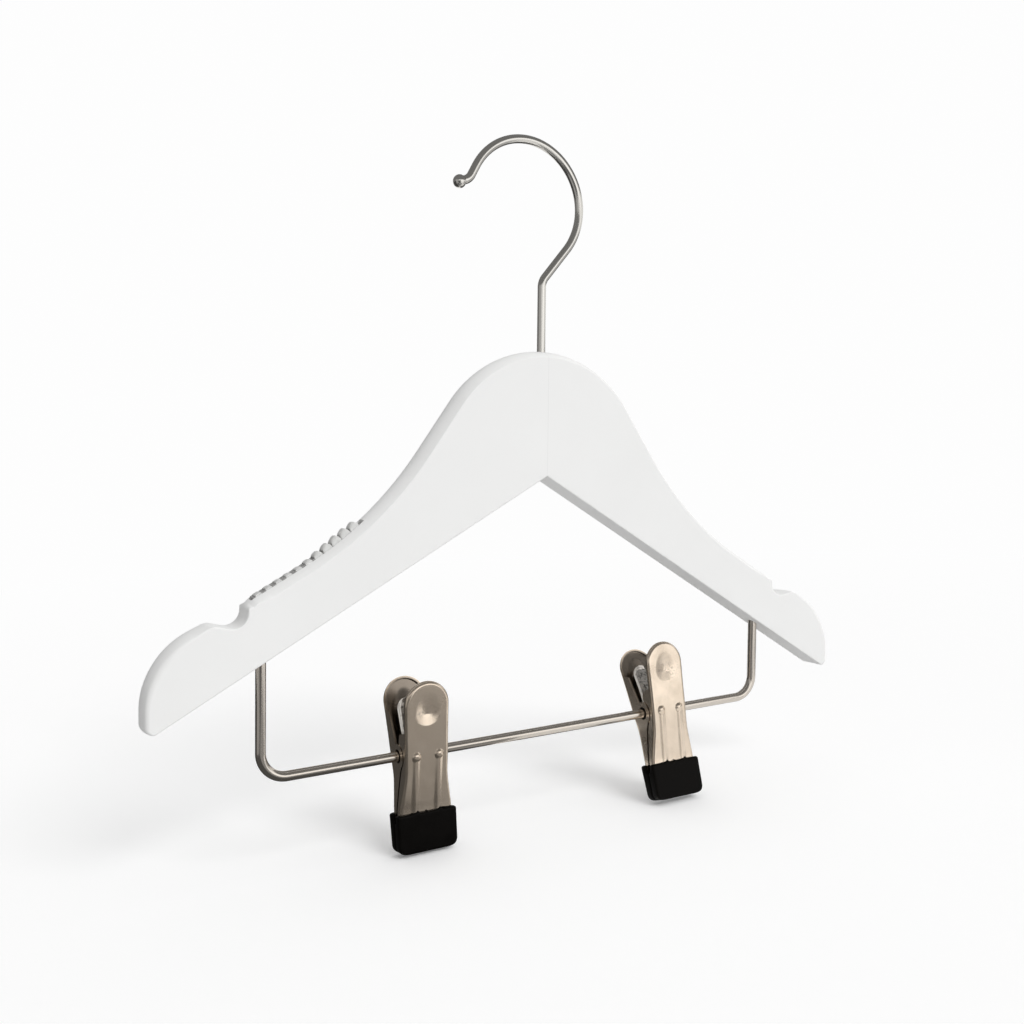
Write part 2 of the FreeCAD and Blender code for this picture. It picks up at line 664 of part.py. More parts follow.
def spring():
    """Flat strip bent round the clip's bush, whose two legs press the handles apart."""
    inside = clip_bush_radius + SPRING_CLEARANCE
    outside = inside + SPRING_THICKNESS
    handle_lean = (HANDLE_SPREAD - PIVOT_SPREAD) / 2 / HANDLE_HEIGHT
    bulge_y = PIVOT_SPREAD / 2 + handle_lean * DISH_PLACE - JAW_SHEET - DISH_DEPTH - SPRING_CLEARANCE
    reach = math.hypot(bulge_y, DISH_PLACE)
    lean = math.atan2(bulge_y, DISH_PLACE) - math.asin(outside / reach)
    outer = rounded_path(spring_side(outside, lean), False)
    inner = rounded_path(spring_side(inside, lean), False)
    ends = []
    for corner in (0, -1):
        near = spring_side(outside, lean)[corner][0]
        ends.append(Part.LineSegment(near, spring_side(inside, lean)[corner][0]).toShape())
    face = Part.Face(Part.Wire(Part.__sortEdges__(outer + inner + ends)))
    face.translate(RIGHT * (-SPRING_WIDTH / 2))
    strip = face.extrude(RIGHT * SPRING_WIDTH)
    half = SPRING_WIDTH / 2
    front_view = prism(
        [
            (V(-half, 0, -outside - OVERRUN), 0),
            (V(half, 0, -outside - OVERRUN), 0),
            (V(half, 0, SPRING_HEIGHT), SPRING_CORNER_RADIUS),
            (V(-half, 0, SPRING_HEIGHT), SPRING_CORNER_RADIUS),
        ],
        BACK * HANDLE_SPREAD,
    )
    return strip.common(front_view)


def turned_about(shape, axis, angle):
    """Copy of a shape turned about an axis through the origin."""
    copy = shape.copy()
    copy.rotate(HERE, axis, angle)
    return copy


def clip_pieces():
    """The pieces of one upright clip about a pivot at the origin. Both jaws are the same stamping."""
    jaw = front_jaw()
    tip = front_tip(jaw)
    return {
        "bush": clip_bush(),
        "spring": spring(),
        "front_jaw": jaw,
        "front_tip": tip,
        "back_jaw": turned_about(jaw, UP, 180),
        "back_tip": turned_about(tip, UP, 180),
    }


def mirrored(shape):
    """The left-hand copy of a right-hand piece."""
    return shape.mirror(HERE, RIGHT)


def hanger_pieces():
    """Every piece of the hanger by name, in its place."""
    arm = right_arm()
    pieces = {
        "arm_left": mirrored(arm),
        "arm_right": arm,
        "joint_dowels": Part.makeCompound(dowels(DOWEL_DIAMETER / 2, DOWEL_LENGTH)),
        "hook": hook(),
        "hook_bush": hook_bush(),
        "grip_strip_left": mirrored(grip_strip(LEFT_STRIP_LIFT)),
        "grip_strip_right": grip_strip(RIGHT_STRIP_LIFT),
        "clip_bar": clip_bar(),
    }
    clips = (
        ("left_clip", LEFT_CLIP_PLACE, LEFT_CLIP_TILT),
        ("right_clip", RIGHT_CLIP_PLACE, RIGHT_CLIP_TILT),
    )
    upright = clip_pieces()
    for clip, place, tilt in clips:
        for name, shape in upright.items():
            hung = turned_about(turned_about(shape, RIGHT, -tilt), BACK, -BAR_TILT)
            hung.translate(bar_point(place))
            pieces[clip + "_" + name] = hung
    return pieces


os.makedirs("parts", exist_ok=True)
for node, solid in hanger_pieces().items():
    print(node, "solids", len(solid.Solids), "valid", solid.isValid(), "volume", round(solid.Volume, 1))
    solid.exportStep("parts/" + node + ".step")
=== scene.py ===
"""Looks of a skirt hanger: painted arms, a bent wire hook and bar, and two sprung clips with dipped tips."""

import logging
import math
from dataclasses import dataclass, field
from enum import Enum
from typing import NamedTuple

import bpy
import numpy as np
from mathutils import Matrix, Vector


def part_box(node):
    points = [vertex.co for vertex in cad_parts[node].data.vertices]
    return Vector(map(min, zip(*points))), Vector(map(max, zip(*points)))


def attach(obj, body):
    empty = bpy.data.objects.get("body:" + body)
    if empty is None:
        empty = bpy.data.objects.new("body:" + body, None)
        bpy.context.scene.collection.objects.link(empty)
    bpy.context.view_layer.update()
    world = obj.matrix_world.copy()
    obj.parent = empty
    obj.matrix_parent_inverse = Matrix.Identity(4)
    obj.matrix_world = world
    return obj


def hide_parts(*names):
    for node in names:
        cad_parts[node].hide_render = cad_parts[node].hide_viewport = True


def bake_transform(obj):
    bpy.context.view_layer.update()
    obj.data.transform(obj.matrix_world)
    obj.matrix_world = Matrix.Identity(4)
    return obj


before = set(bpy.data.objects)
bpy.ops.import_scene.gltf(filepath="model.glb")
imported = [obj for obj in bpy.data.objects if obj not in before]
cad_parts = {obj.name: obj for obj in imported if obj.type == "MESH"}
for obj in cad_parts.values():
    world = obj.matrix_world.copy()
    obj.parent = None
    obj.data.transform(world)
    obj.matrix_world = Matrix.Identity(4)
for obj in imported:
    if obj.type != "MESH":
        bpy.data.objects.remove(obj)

LOG = logging.getLogger("skirt_hanger")
MM = 0.001
Socket = bpy.types.NodeSocket
Tree = bpy.types.NodeTree


# Colours and nodes

def linear(colour: str) -> tuple[float, float, float, float]:
    """Turn an sRGB hex colour into linear light.

    Args:
        colour: colour written as #rrggbb.

    Returns:
        Red, green, blue and alpha in linear light.
    """
    shares = np.array([int(colour[place:place + 2], 16) for place in (1, 3, 5)]) / 255
    low = shares / 12.92
    high = ((shares + 0.055) / 1.055) ** 2.4
    red, green, blue = np.where(shares <= 0.04045, low, high).tolist()
    return (red, green, blue, 1.0)


def per_metre(size: float) -> float:
    """Texture scale at which one cell of a pattern is `size` millimetres wide."""
    return 1.0 / (size * MM)


def add_node(
    tree: Tree, kind: str, inputs: dict, settings: dict | None = None, output: int | str = 0
) -> Socket:
    """Add a node, set its properties, and set or link its inputs.

    Args:
        tree: node tree that takes the node.
        kind: Blender's name of the node type, without the leading ShaderNode.
        inputs: plain values, or output sockets to link, by the input's name or number.
        settings: values of the node's properties by name.
        output: name or number of the output to give back.

    Returns:
        The chosen output, or the first input of a node that has no outputs.
    """
    node = tree.nodes.new("ShaderNode" + kind)
    for name, value in (settings or {}).items():
        setattr(node, name, value)
    for name, value in inputs.items():
        if isinstance(value, Socket):
            tree.links.new(value, node.inputs[name])
        else:
            node.inputs[name].default_value = value
    return node.outputs[output] if node.outputs else node.inputs[0]


def blank_material(name: str) -> bpy.types.Material:
    """Make a material with an empty node tree.

    Args:
        name: name of the material.

    Returns:
        The material.
    """
    made = bpy.data.materials.new(name)
    made.use_nodes = True
    made.node_tree.nodes.clear()
    return made


COLOUR_MIX = {"data_type": "RGBA"}
COLOUR_OUT = 2
PRODUCT = {"operation": "MULTIPLY"}
SUM = {"operation": "ADD"}


# Finishes

@dataclass(frozen=True)
class Finish:
    """A named finish of two close colours that makes its material once."""

    name: str
    colour: str
    second: str
    roughness: float

    def material(self) -> bpy.types.Material:
        """Blender material of the finish, made at the first call.

        Returns:
            The material.
        """
        made = bpy.data.materials.get(self.name)
        if made is None:
            made = blank_material(self.name)
            tree = made.node_tree
            surface = add_node(tree, "BsdfPrincipled", self.shade(tree))
            add_node(tree, "OutputMaterial", {"Surface": surface})
        return made

    def shade(self, tree: Tree) -> dict:
        """Inputs of the finish's shader; each kind of finish has its own."""
        raise NotImplementedError(self.name)

    @property
    def tones(self) -> dict:
        """The two colours as inputs of a mix."""
        return {6: linear(self.colour), 7: linear(self.second)}

    def sway(self, down: float, up: float) -> dict:
        """Range of a noise, and the range of roughness that it is turned into."""
        return {1: 0.3, 2: 0.7, 3: self.roughness - down, 4: self.roughness + up}


@dataclass(frozen=True)
class SatinPaint(Finish):
    """Sprayed matt-satin paint over sanded wood: soft even white, with the grain just telling through."""

    cloud_size: float = 45.0
    grain_length: float = 14.0
    grain_width: float = 0.9
    seam_width: float = 0.14
    seam_colour: str = "#e9e9e8"

    def shade(self, tree: Tree) -> dict:
        """Pale clouds, a fine grain in the gloss, and a hairline where the two arms meet at x = 0.

        Args:
            tree: node tree of the material.

        Returns:
            Inputs of the shader.
        """
        place = add_node(tree, "TexCoord", {}, output="Object")
        clouds = add_node(tree, "TexNoise", {"Vector": place, "Scale": per_metre(self.cloud_size)})
        base = add_node(tree, "Mix", {0: clouds} | self.tones, COLOUR_MIX, COLOUR_OUT)
        across = add_node(tree, "SeparateXYZ", {0: place})
        side = add_node(tree, "Math", {0: across}, {"operation": "ABSOLUTE"})
        width = self.seam_width * MM
        seam = add_node(tree, "MapRange", {0: side, 1: 0.5 * width, 2: width, 3: 1.0, 4: 0.0})
        base = add_node(tree, "Mix", {0: seam, 6: base, 7: linear(self.seam_colour)}, COLOUR_MIX, COLOUR_OUT)
        stretch = (self.grain_width / self.grain_length, 1.0, 1.0)
        lengthwise = add_node(tree, "Mapping", {"Vector": place, "Scale": stretch})
        grain = add_node(
            tree, "TexNoise", {"Vector": lengthwise, "Scale": per_metre(self.grain_width), "Detail": 4.0}
        )
        gloss = add_node(tree, "MapRange", {0: grain} | self.sway(0.05, 0.05))
        normal = add_node(tree, "Bump", {"Strength": 0.2, "Distance": 0.03 * MM, "Height": grain})
        return {"Base Color": base, "Roughness": gloss, "Specular IOR Level": 0.3, "Normal": normal}


@dataclass(frozen=True)
class PlanedWood(Finish):
    """Bare turned beech: long pale pores and a dry, dull skin."""

    pore_length: float = 6.0
    pore_width: float = 0.4

    def shade(self, tree: Tree) -> dict:
        """Pores drawn along X in colour and bump.

        Args:
            tree: node tree of the material.

        Returns:
            Inputs of the shader.
        """
        place = add_node(tree, "TexCoord", {}, output="Object")
        stretch = (self.pore_width / self.pore_length, 1.0, 1.0)
        lengthwise = add_node(tree, "Mapping", {"Vector": place, "Scale": stretch})
        pores = add_node(tree, "TexNoise", {"Vector": lengthwise, "Scale": per_metre(self.pore_width)})
        base = add_node(tree, "Mix", {0: pores} | self.tones, COLOUR_MIX, COLOUR_OUT)
        normal = add_node(tree, "Bump", {"Strength": 0.3, "Distance": 0.05 * MM, "Height": pores})
        return {"Base Color": base, "Roughness": self.roughness, "Normal": normal}


@dataclass(frozen=True)
class DrawnNickel(Finish):
    """Nickel on drawn steel wire: clean streaks along the wire, with faint lengthwise die lines."""

    line_width: float = 0.4
    line_length: float = 80.0

    def shade(self, tree: Tree) -> dict:
        """Lines along the wire in colour and gloss, on the UV map that counts millimetres.

        The real die lines are finer than a pixel, so they are drawn 0.4 mm wide.

        Args:
            tree: node tree of the material.

        Returns:
            Inputs of the shader.
        """
        spread = add_node(tree, "UVMap", {}, {"uv_map": "wire"})
        scale = (1.0 / self.line_length, 1.0 / self.line_width, 1.0)
        lines = add_node(tree, "Mapping", {"Vector": spread, "Scale": scale})
        drawn = add_node(tree, "TexNoise", {"Vector": lines, "Scale": 1.0, "Detail": 2.0})
        share = add_node(tree, "MapRange", {0: drawn, 1: 0.3, 2: 0.7, 3: 1.0, 4: 0.0})
        base = add_node(tree, "Mix", {0: share} | self.tones, COLOUR_MIX, COLOUR_OUT)
        gloss = add_node(tree, "MapRange", {0: drawn} | self.sway(0.03, 0.03))
        normal = add_node(tree, "Bump", {"Strength": 0.1, "Distance": 0.005 * MM, "Height": drawn})
        return {"Base Color": base, "Metallic": 1.0, "Roughness": gloss, "Normal": normal}


@dataclass(frozen=True)
class StampedNickel(Finish):
    """Nickel on stamped sheet steel: a warm sheen, a hammered patch in the dish with painted shade at its
    edge, and painted shade on the inner side.
    """

    grain_size: float = 0.5
    hammer_size: float = 0.9
    cloud_size: float = 7.0
    scuff_and_shade_colour: str = "#9a8f84"
    # Darker colour that paints shade on the jaw's inner side
    inner_shade_colour: str = "#8d8378"
    speck: float = 0.55

    def shade(self, tree: Tree) -> dict:
        """Clouded plating with a fine grain, speckled darker by the attribute of hammer marks and painted
        shade, and darkened by the inside one, which paints shade on the inner side.

        The plating's real grain is finer than a pixel, so it is drawn 0.5 mm wide.

        Args:
            tree: node tree of the material.

        Returns:
            Inputs of the shader.
        """
        place = add_node(tree, "TexCoord", {}, output="Object")
        cloud = add_node(tree, "TexNoise", {"Vector": place, "Scale": per_metre(self.cloud_size)})
        share = add_node(tree, "MapRange", {0: cloud, 1: 0.3, 2: 0.7, 3: 0.0, 4: 1.0})
        base = add_node(tree, "Mix", {0: share} | self.tones, COLOUR_MIX, COLOUR_OUT)
        # This attribute places dark speckles: hammer marks on a jaw's dish, heaped into painted shade at its
        # straight edge, and painted reflection inside the spring's curled edge
        worn_and_shaded = add_node(tree, "Attribute", {}, {"attribute_name": "scuff_and_shade"}, "Fac")
        blows = {"Vector": place, "Scale": per_metre(self.hammer_size), "Detail": 1.0}
        dents_and_shade = add_node(tree, "TexNoise", blows)
        speck = add_node(tree, "MapRange", {0: dents_and_shade, 1: 0.5, 2: 0.64, 3: 0.0, 4: self.speck})
        marks = add_node(tree, "Math", {0: worn_and_shaded, 1: speck}, PRODUCT)
        # The inside attribute marks the jaw's inner side for painted shade
        inside = add_node(tree, "Attribute", {}, {"attribute_name": "inside"}, "Fac")
        # Mix in the speckles of hammer marks and painted shade, then the painted shade of the inner side
        for part, colour in ((marks, self.scuff_and_shade_colour), (inside, self.inner_shade_colour)):
            base = add_node(tree, "Mix", {0: part, 6: base, 7: linear(colour)}, COLOUR_MIX, COLOUR_OUT)
        gloss = add_node(tree, "MapRange", {0: cloud} | self.sway(0.03, 0.04))
        grain = add_node(tree, "TexNoise", {"Vector": place, "Scale": per_metre(self.grain_size)})
        dents = add_node(tree, "Math", {0: worn_and_shaded, 1: dents_and_shade}, PRODUCT)
        fine = add_node(tree, "Bump", {"Strength": 0.5, "Distance": 0.03 * MM, "Height": grain})
        normal = add_node(
            tree, "Bump", {"Strength": 0.5, "Distance": 0.1 * MM, "Height": dents, "Normal": fine}
        )
        return {"Base Color": base, "Metallic": 1.0, "Roughness": gloss, "Normal": normal}


@dataclass(frozen=True)
class DippedRubber(Finish):
    """Black rubber dipped on in one coat, or moulded nylon: nearly black, with a faint sheen."""

    wave_size: float = 5.0
    skin_size: float = 0.6

    def shade(self, tree: Tree) -> dict:
        """Near black with faint waves from the dipping and a fine skin.

        Args:
            tree: node tree of the material.

        Returns:
            Inputs of the shader.
        """
        place = add_node(tree, "TexCoord", {}, output="Object")
        waves = add_node(tree, "TexNoise", {"Vector": place, "Scale": per_metre(self.wave_size)})
        base = add_node(tree, "Mix", {0: waves} | self.tones, COLOUR_MIX, COLOUR_OUT)
        skin = add_node(tree, "TexNoise", {"Vector": place, "Scale": per_metre(self.skin_size)})
        both = add_node(tree, "Math", {0: waves, 1: skin}, SUM)
        normal = add_node(tree, "Bump", {"Strength": 0.35, "Distance": 0.05 * MM, "Height": both})
        gloss = add_node(tree, "MapRange", {0: waves} | self.sway(0.05, 0.05))
        return {"Base Color": base, "Roughness": gloss, "Specular IOR Level": 0.06, "Normal": normal}


@dataclass(frozen=True)
class CloudyVinyl(Finish):
    """Soft clear vinyl gone cloudy: pale domes that glow a little, and a greyer web over the groove that
    paints the shade between them.
    """

    # Grey that paints the shade in the gaps between the domes
    web: str = "#a09f9d"
    cloud_size: float = 1.6

    def shade(self, tree: Tree) -> dict:
        """Milky domes over a grey web of painted shade, which also greys their low flanks, by the dome
        attribute, with light carried under the skin.

        Args:
            tree: node tree of the material.

        Returns:
            Inputs of the shader.
        """
        place = add_node(tree, "TexCoord", {}, output="Object")
        clouds = add_node(tree, "TexNoise", {"Vector": place, "Scale": per_metre(self.cloud_size)})
        milk = add_node(tree, "Mix", {0: clouds} | self.tones, COLOUR_MIX, COLOUR_OUT)
        dome = add_node(tree, "Attribute", {}, {"attribute_name": "dome"}, "Fac")
        # Below half a dome's height the grey web paints shade on the low flanks
        unshaded_share = add_node(tree, "MapRange", {0: dome, 1: 0.1, 2: 0.5, 3: 0.0, 4: 1.0})
        base = add_node(tree, "Mix", {0: unshaded_share, 6: linear(self.web), 7: milk}, COLOUR_MIX, COLOUR_OUT)
        normal = add_node(tree, "Bump", {"Strength": 0.3, "Distance": 0.05 * MM, "Height": clouds})
        gloss = add_node(tree, "MapRange", {0: clouds} | self.sway(0.06, 0.06))
        return {
            "Base Color": base,
            "Roughness": gloss,
            "Subsurface Weight": 0.4,
            "Subsurface Radius": (1.0, 1.0, 1.0),
            "Subsurface Scale": 0.8 * MM,
            "Transmission Weight": 0.12,
            "Normal": normal,
        }


@dataclass(frozen=True)
class TurnedBrass(Finish):
    """Brass turned on a lathe: a yellow sheen broken by fine tool marks."""

    mark_size: float = 0.4

    def shade(self, tree: Tree) -> dict:
        """Clouded metal with tool marks in gloss and bump.

        Args:
            tree: node tree of the material.

        Returns:
            Inputs of the shader.
        """
        place = add_node(tree, "TexCoord", {}, output="Object")
        marks = add_node(tree, "TexNoise", {"Vector": place, "Scale": per_metre(self.mark_size)})
        base = add_node(tree, "Mix", {0: marks} | self.tones, COLOUR_MIX, COLOUR_OUT)
        normal = add_node(tree, "Bump", {"Strength": 0.3, "Distance": 0.02 * MM, "Height": marks})
        gloss = add_node(tree, "MapRange", {0: marks} | self.sway(0.05, 0.05))
        return {"Base Color": base, "Metallic": 1.0, "Roughness": gloss, "Normal": normal}


class Look(Enum):
    """Finishes of the hanger, by the record's material slots."""

    painted_wood = SatinPaint("satin_white_paint_on_beech", "#f4f4f3", "#efefee", 0.6)
    bare_wood = PlanedWood("turned_bare_beech", "#c9a77e", "#b08b60", 0.6)
    hook_wire = DrawnNickel("satin_nickel_drawn_wire", "#d8d5cf", "#c9c6c0", 0.16)
    bush_brass = TurnedBrass("turned_brass", "#b3924f", "#9a7a3d", 0.35)
    clear_rubber = CloudyVinyl("cloudy_soft_vinyl", "#ececea", "#d8d8d6", 0.35)
    bar_wire = DrawnNickel("nickel_plated_bar_wire", "#d6cec4", "#c6beb4", 0.16)
    black_plastic = DippedRubber("moulded_black_nylon", "#100f0f", "#171615", 0.5)
    # The spring's near-black speckle colour paints its dark reflections
    spring_steel = StampedNickel(
        "bright_spring_steel_strip", "#e2ddd6", "#cfc9c1", 0.24, scuff_and_shade_colour="#3d3935", speck=0.65
    )
    jaw_steel = StampedNickel("satin_nickel_stamped_sheet", "#e6d6c3", "#d8c8b5", 0.24)
    black_rubber = DippedRubber("dipped_black_rubber", "#070605", "#0e0c0a", 0.45)

    @property
    def material(self) -> bpy.types.Material:
        """Material of the finish."""
        return self.value.material()


# Shapes on grids

class Leg(NamedTuple):
    """One run of a wire: its length in millimetres, and how far it turns to the left in degrees."""

    length: float
    turn: float = 0.0


class Walk(NamedTuple):
    """Points of a path in a plane, the headings there in radians, and the lengths walked."""

    points: np.ndarray
    headings: np.ndarray
    lengths: np.ndarray


def arc(radius: float, turn: float) -> Leg:
    """Leg that turns by `turn` degrees at a radius."""
    return Leg(radius * math.radians(abs(turn)), turn)


def walk(start: tuple[float, float], heading: float, legs: list[Leg], step: float) -> Walk:
    """Follow straight runs and arcs in a plane.

    Each leg is cut into equal steps. The heading is the running sum of the turns, and a point is the
    running sum of the steps, each taken along the mean of the headings at its two ends.

    Args:
        start: first point in millimetres.
        heading: first heading in degrees, anticlockwise from the first axis.
        legs: runs in order.
        step: longest step in millimetres.

    Returns:
        The walked path.
    """
    counts = [max(1, math.ceil(leg.length / step)) for leg in legs]
    turns = np.repeat([math.radians(leg.turn) / count for leg, count in zip(legs, counts)], counts)
    steps = np.repeat([leg.length / count for leg, count in zip(legs, counts)], counts)
    headings = math.radians(heading) + np.concatenate([[0.0], np.cumsum(turns)])
    middle = 0.5 * (headings[1:] + headings[:-1])
    moves = np.stack([np.cos(middle), np.sin(middle)], axis=1) * steps[:, None]
    points = np.array(start) + np.concatenate([np.zeros((1, 2)), np.cumsum(moves, axis=0)])
    return Walk(points, headings, np.concatenate([[0.0], np.cumsum(steps)]))


def rounded(corners: list[tuple[float, float, float]]) -> tuple[float, list[Leg]]:
    """Legs along a line of corners, each rounded to its radius.

    A corner takes its radius times the tangent of half its turn off the two runs beside it.

    Args:
        corners: first and second coordinate of each corner, and its radius.

    Returns:
        The first heading in degrees, and the legs that have a length.
    """
    spots = np.array(corners)
    runs = np.diff(spots[:, :2], axis=0)
    headings = np.degrees(np.arctan2(runs[:, 1], runs[:, 0]))
    turns = (np.diff(headings) + 180.0) % 360.0 - 180.0
    radii = spots[1:-1, 2]
    cuts = np.concatenate([[0.0], radii * np.tan(np.radians(0.5 * np.abs(turns))), [0.0]])
    straights = np.linalg.norm(runs, axis=1) - cuts[:-1] - cuts[1:]
    legs = [Leg(straights[0])]
    for radius, turn, straight in zip(radii, turns, straights[1:]):
        legs += [arc(radius, turn), Leg(straight)]
    return float(headings[0]), [leg for leg in legs if leg.length > 1e-6]


def soft_steps(places: np.ndarray, knots: tuple[float, ...], levels: tuple[float, ...]) -> np.ndarray:
    """Piecewise straight curve with rounded corners: its mean over a window 5 mm wide."""
    offsets = np.linspace(-2.5, 2.5, 9)
    return np.mean([np.interp(places + offset, knots, levels) for offset in offsets], axis=0)


def grid_faces(rows: int, columns: int, wrap: bool = False) -> np.ndarray:
    """Quads of a grid of points that are numbered row by row.

    Args:
        rows: number of rows.
        columns: number of columns.
        wrap: whether the last column joins the first.

    Returns:
        Corner numbers, one row for each quad.
    """
    index = np.arange(rows * columns).reshape(rows, columns)
    if wrap:
        index = np.concatenate([index, index[:, :1]], axis=1)
    corners = (index[:-1, :-1], index[:-1, 1:], index[1:, 1:], index[1:, :-1])
    return np.stack([corner.ravel() for corner in corners], axis=1)


@dataclass
class Skin:
    """Points in millimetres and faces of one piece, gathered part by part."""

    points: list[np.ndarray] = field(default_factory=list)
    faces: list[list[int]] = field(default_factory=list)
    count: int = 0

    def add(self, points: np.ndarray, faces: list[np.ndarray]) -> None:
        """Add points and the faces on them.

        Args:
            points: array whose last axis is x, y, z.
            faces: arrays of corner numbers, one row for each face.
        """
        for group in faces:
            self.faces.extend((group + self.count).tolist())
        self.points.append(points.reshape(-1, 3))
        self.count += self.points[-1].shape[0]

    def loft(self, rings: np.ndarray) -> None:
        """Add a closed skin over rings of points, with a flat face at each end.

        Args:
            rings: array of rings by points by x, y, z, turning to the left as seen from the last ring.
        """
        rows, columns, _ = rings.shape
        first = np.arange(columns)[::-1]
        last = np.arange(columns) + (rows - 1) * columns
        self.add(rings, [grid_faces(rows, columns, wrap=True), first[None], last[None]])

    def sheet(self, grid: np.ndarray, thickness: float, fold: int = 0) -> None:
        """Add a sheet of even thickness whose outer side is a grid, closed along its edges.

        The inner side lies at the thickness below the outer one along the grid's normals, which are
        the cross products of its differences across and along. With a fold, the two halves of the
        last row are joined to each other, as where an outline closes at its top.

        Args:
            grid: array of rows by columns by x, y, z, seen from outside with columns running right.
            thickness: thickness in millimetres.
            fold: number of columns at each side that the fold joins, or 0.
        """
        rows, columns, _ = grid.shape
        normals = np.cross(np.gradient(grid, axis=1), np.gradient(grid, axis=0))
        normals /= np.linalg.norm(normals, axis=2, keepdims=True)
        inner = grid - normals * thickness
        index = np.arange(rows * columns).reshape(rows, columns)
        under = rows * columns
        outer_faces = [grid_faces(rows, columns)]
        if fold:
            top = index[-1]
            low = np.arange(fold)
            corners = (top[low], top[low + 1], top[columns - 2 - low], top[columns - 1 - low])
            outer_faces.append(np.stack(corners, axis=1)[:-1])
            outer_faces.append(top[None, fold - 1:columns - fold + 1])
            loop = np.concatenate([index[0, :-1], index[:, -1], index[:0:-1, 0]])
        else:
            loop = np.concatenate([index[0, :-1], index[:-1, -1], index[-1, :0:-1], index[:0:-1, 0]])
        after = np.roll(loop, -1)
        rim = np.stack([after, loop, loop + under, after + under], axis=1)
        inner_faces = [group[:, ::-1] + under for group in outer_faces]
        points = np.concatenate([grid.reshape(-1, 3), inner.reshape(-1, 3)])
        self.add(points, outer_faces + inner_faces + [rim])

    def board(self, rings: np.ndarray) -> None:
        """Add a board from its rim, closed by a flat face at the front, the back and the open end.

        Args:
            rings: sections of the rim, of points by x, y, z, with their outer side to the left.
        """
        rows, columns, _ = rings.shape
        index = np.arange(rows * columns).reshape(rows, columns)
        end = np.concatenate([index[0, ::-1], index[-1]])
        self.add(rings, [grid_faces(rows, columns), index[None, :, 0], index[None, ::-1, -1], end[None]])

    def plate(
        self, centre: tuple[float, float], inside: np.ndarray, outside: np.ndarray, thickness: float
    ) -> None:
        """Add a flat plate with a hole, between two closed outlines in a plane of even x.

        Args:
            centre: x of the plate's outer side, and the sign of the way it faces.
            inside: outline of the hole as rows of y, z.
            outside: outline of the plate with as many rows.
            thickness: thickness in millimetres.
        """
        place, way = centre
        outlines = np.stack([inside, outside])
        outer = np.concatenate([np.full(outlines.shape[:2] + (1,), place), outlines], axis=2)
        inner = outer - np.array([way * thickness, 0.0, 0.0])
        faces = grid_faces(5, inside.shape[0], wrap=True) % (4 * inside.shape[0])
        faces = faces[:, ::-1] if way > 0 else faces
        self.add(np.stack([outer[0], outer[1], inner[1], inner[0]]), [faces])

    def build(self, name: str, sharp: float = 40.0) -> bpy.types.Object:
        """Make the mesh object, smooth but for edges sharper than an angle in degrees.

        Args:
            name: name of the object and its mesh.
            sharp: angle above which an edge stays sharp.

        Returns:
            The linked object, at the origin.
        """
        mesh = bpy.data.meshes.new(name)
        mesh.from_pydata((np.concatenate(self.points) * MM).tolist(), [], self.faces)
        mesh.polygons.foreach_set("use_smooth", np.ones(len(mesh.polygons), bool))
        mesh.set_sharp_from_angle(angle=math.radians(sharp))
        return add_object(name, mesh)


def add_object(name: str, data: bpy.types.ID) -> bpy.types.Object:
    """Link a new object into the scene, at the origin.

    Args:
        name: name of the object.
        data: its mesh, lamp or camera.

    Returns:
        The object.
    """
    made = bpy.data.objects.new(name, data)
    bpy.context.scene.collection.objects.link(made)
    return made


def mark(piece: bpy.types.Object, name: str, values: np.ndarray) -> None:
    """Store a value at each point of a piece, for its material to read."""
    layer = piece.data.attributes.new(name, "FLOAT", "POINT")
    layer.data.foreach_set("value", values.ravel().astype(np.float32))


def unit_circle(count: int) -> np.ndarray:
    """Points round a circle of radius 1, as rows of cosine and sine."""
    turn = np.linspace(0.0, 2.0 * np.pi, count, endpoint=False)
    return np.stack([np.cos(turn), np.sin(turn)], axis=1)


def dress(piece: bpy.types.Object, look: Look) -> None:
    """Give a piece its finish and material slot.

    Args:
        piece: mesh object to dress.
        look: finish, whose name is the slot.
    """
    piece.data.materials.clear()
    piece.data.materials.append(look.material)
    LOG.info("%s: %s, %d faces", piece.name, look.name, len(piece.data.polygons))


def fit(piece: bpy.types.Object, body: str, node: str, look: Look) -> None:
    """Let a piece ride a body in place of a CAD node, and dress it.

    Args:
        piece: mesh object to fit.
        body: body that it moves with.
        node: CAD node that it stands for.
        look: finish that it gets.
    """
    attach(piece, body)
    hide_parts(node)
    dress(piece, look)


def wire_piece(name: str, path: Walk, radii: np.ndarray, sides: int = 32) -> bpy.types.Object:
    """Round wire along a path in the hanger's plane.

    Each ring is a circle of its own radius about a point of the path, spanned by the path's left-hand
    normal and the way forward (-Y). The UV map counts millimetres along the wire and round it.

    Args:
        name: name of the piece.
        path: path in x and z.
        radii: radius at each point of the path.
        sides: points round a ring.

    Returns:
        The piece.
    """
    circle = unit_circle(sides)
    left = np.stack([-np.sin(path.headings), np.zeros_like(path.headings), np.cos(path.headings)], axis=1)
    front = np.array([0.0, -1.0, 0.0])
    spread = circle[None, :, :1] * left[:, None] + circle[None, :, 1:] * front
    centre = np.stack([path.points[:, 0], np.zeros(len(radii)), path.points[:, 1]], axis=1)
    skin = Skin()
    skin.loft(centre[:, None] + spread * radii[:, None, None])
    piece = skin.build(name)
    width = 2.0 * np.pi * np.median(radii) / sides
    rows, columns = np.meshgrid(np.arange(len(radii) - 1), np.arange(sides), indexing="ij")
    along = np.stack([rows, rows, rows + 1, rows + 1], axis=2)
    round_ = np.stack([columns, columns + 1, columns + 1, columns], axis=2) * width
    quads = np.stack([path.lengths[along], round_], axis=3).reshape(-1, 2)
    caps = np.zeros((2 * sides, 2))
    layer = piece.data.uv_layers.new(name="wire")
    layer.uv.foreach_set("vector", np.concatenate([quads, caps]).ravel())
    return piece


# Arms and the pieces on them

